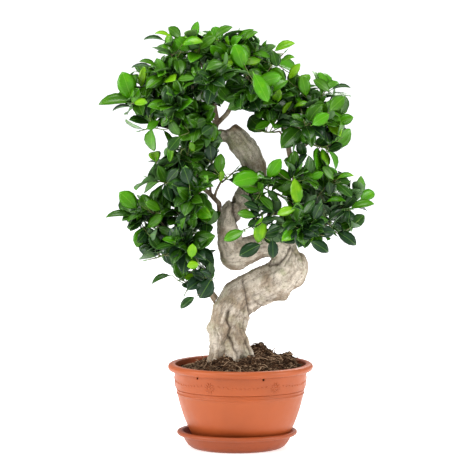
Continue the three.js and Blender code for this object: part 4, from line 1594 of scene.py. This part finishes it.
def fibreMesh(name, seed, material):
    chance = random.Random(seed)
    shape = bmesh.new()
    sides, rings, radius = 4, 7, 0.026
    rows = []
    at = Vector((-0.5, 0, 0))
    way = Vector((1, 0, chance.uniform(-0.2, 0.3))).normalized()
    for i in range(rings):
        across = way.cross(Vector((0, 0, 1))).normalized()
        lift = across.cross(way)
        thin = radius * (0.35 if i in (0, rings - 1) else 1.0)
        turns = [2 * math.pi * k / sides for k in range(sides)]
        ways = [across * math.cos(t) + lift * math.sin(t) for t in turns]
        rows.append([shape.verts.new(at + out * thin) for out in ways])
        way = (way + Vector((0, chance.uniform(-0.7, 0.7), chance.uniform(-0.5, 0.4)))).normalized()
        at = at + way / (rings - 1)
    for low, high in zip(rows, rows[1:]):
        for k in range(sides):
            shape.faces.new((low[k], low[(k + 1) % sides], high[(k + 1) % sides], high[k]))
    shape.faces.new(rows[0])
    shape.faces.new(rows[-1])
    bmesh.ops.recalc_face_normals(shape, faces=shape.faces)
    mesh = bpy.data.meshes.new(name)
    shape.to_mesh(mesh)
    shape.free()
    smoothShading(mesh)
    mesh.materials.append(material)
    return mesh


def scatterTree():
    amounts = {"Count": 1000, "Seed": 1, "Area": 0.03}
    ranges = {"Smallest": 0.002, "Largest": 0.006, "Darkest": 0.0, "Lightest": 1.0}
    tree = NodeTree("scatterOnSoil", {"Crumbs": "Collection", **amounts, **ranges, "Finish": "Material"})
    density = tree.node("ShaderNodeMath", operation="DIVIDE")
    tree.link(tree.start.outputs["Count"], density.inputs[0])
    tree.link(tree.start.outputs["Area"], density.inputs[1])
    points = tree.node("GeometryNodeDistributePointsOnFaces")
    tree.link(tree.start.outputs["Geometry"], points.inputs["Mesh"])
    tree.link(tree.named("top", "BOOLEAN"), points.inputs["Selection"])
    tree.link(density.outputs[0], points.inputs["Density"])
    tree.link(tree.start.outputs["Seed"], points.inputs["Seed"])
    size = tree.node("FunctionNodeRandomValue", data_type="FLOAT")
    for label, source in (("Min", "Smallest"), ("Max", "Largest"), ("Seed", "Seed")):
        tree.link(tree.start.outputs[source], inUse(size.inputs, label))
    turn = tree.node("FunctionNodeRandomValue", data_type="FLOAT_VECTOR")
    inUse(turn.inputs, "Min").default_value = (-0.5, -0.5, 0.0)
    inUse(turn.inputs, "Max").default_value = (0.5, 0.5, 6.28)
    rotation = tree.node("FunctionNodeEulerToRotation")
    tree.link(inUse(turn.outputs, "Value"), rotation.inputs["Euler"])
    put = tree.node("GeometryNodeInstanceOnPoints")
    put.inputs["Pick Instance"].default_value = True
    tree.link(points.outputs["Points"], put.inputs["Points"])
    tree.link(tree.piecesOf("Crumbs"), put.inputs["Instance"])
    tree.link(rotation.outputs["Rotation"], put.inputs["Rotation"])
    tree.link(inUse(size.outputs, "Value"), put.inputs["Scale"])
    shade = tree.node("FunctionNodeRandomValue", data_type="FLOAT")
    for label, source in (("Min", "Darkest"), ("Max", "Lightest")):
        tree.link(tree.start.outputs[source], inUse(shade.inputs, label))
    inUse(shade.inputs, "Seed").default_value = 9
    store = tree.node("GeometryNodeStoreNamedAttribute", data_type="FLOAT", domain="INSTANCE")
    store.inputs["Name"].default_value = "tone"
    tree.link(put.outputs["Instances"], store.inputs["Geometry"])
    tree.link(inUse(shade.outputs, "Value"), inUse(store.inputs, "Value"))
    tree.link(tree.finished(store.outputs["Geometry"], "Finish"), tree.end.inputs["Geometry"])
    return tree


def keepInside(mesh, reach):
    # whatever would pass through the bowl's wall lies against it
    for vertex in mesh.vertices:
        away = math.hypot(vertex.co.x, vertex.co.y)
        if away > reach:
            vertex.co.x *= reach / away
            vertex.co.y *= reach / away


def heapHeight(at):
    heights = []
    for x, y, rise, reach in soilShape["heaps"]:
        heights.append(rise * math.exp(-(((at.x - x) ** 2 + (at.y - y) ** 2) / reach**2)))
    return sum(heights)


def makeSoil():
    s = soilShape
    piece = remeshed("soil_ground", "soil", s["voxel"], 3)
    mesh = piece.data
    level = bowlHigh.z - s["belowRim"]
    moved = []
    top = []
    for vertex in mesh.vertices:
        at = vertex.co / mm
        rise = clamp((vertex.co.z - level + s["skin"]) / s["skin"])
        inside = clamp((s["flatEdge"] - math.hypot(at.x, at.y)) / s["edgeWidth"])
        if rise > 0 and vertex.normal.z > 0.1:
            clods = turbulence(at / 17, 3) * s["clod"]
            crumbs = turbulence(at / 5.5 + Vector((4, 4, 4)), 3) * s["crumb"]
            push = (clods + crumbs) * (0.35 + 0.65 * inside) + heapHeight(at) * mm * inside
            moved.extend(vertex.co + Vector((0, 0, push * rise)))
            top.append(inside > 0 and vertex.normal.z > 0.35)
        else:
            moved.extend(vertex.co)
            top.append(False)
    mesh.vertices.foreach_set("co", moved)
    mesh.update()
    writeAttribute(mesh, "top", top, "BOOLEAN")
    mesh.materials.append(groundPaint)

    tree = scatterTree()
    crumbs = templateCollection("crumbs", [crumbMesh(f"crumb{i}", 40 + i, clodPaint) for i in range(4)])
    fibres = templateCollection("fibres", [fibreMesh(f"fibre{i}", 60 + i, clodPaint) for i in range(5)])
    area = math.pi * s["scatterRadius"] ** 2
    # name: (pieces, count, smallest, largest, darkest, lightest, seed)
    layers = {
        "soil_crumbs": (crumbs, s["crumbs"], 0.0014, 0.0052, 0.0, 0.85, 3),
        "soil_clods": (crumbs, s["clods"], 0.006, 0.0105, 0.0, 0.75, 8),
        "soil_fibres": (fibres, s["fibres"], 0.008, 0.020, 0.2, 0.95, 4),
        "soil_straws": (fibres, s["straws"], 0.018, 0.034, 0.7, 1.1, 6),
    }
    scattered = []
    for name, (kinds, count, smallest, largest, darkest, lightest, seed) in layers.items():
        made = newPiece(name, mesh.copy())
        amounts = {"Crumbs": kinds, "Count": count, "Seed": seed, "Area": area, "Finish": clodPaint}
        ranges = {"Smallest": smallest, "Largest": largest, "Darkest": darkest, "Lightest": lightest}
        tree.applyTo(made, {**amounts, **ranges})
        scattered.append(made)
    bakeModifiers(scattered)
    for made in scattered:
        keepInside(made.data, s["reach"] * mm)
        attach(made, body)
    finish(piece, "soil", "soil")
    print("soil:", len(mesh.polygons), "faces;", [len(made.data.polygons) for made in scattered])


makeSoil()
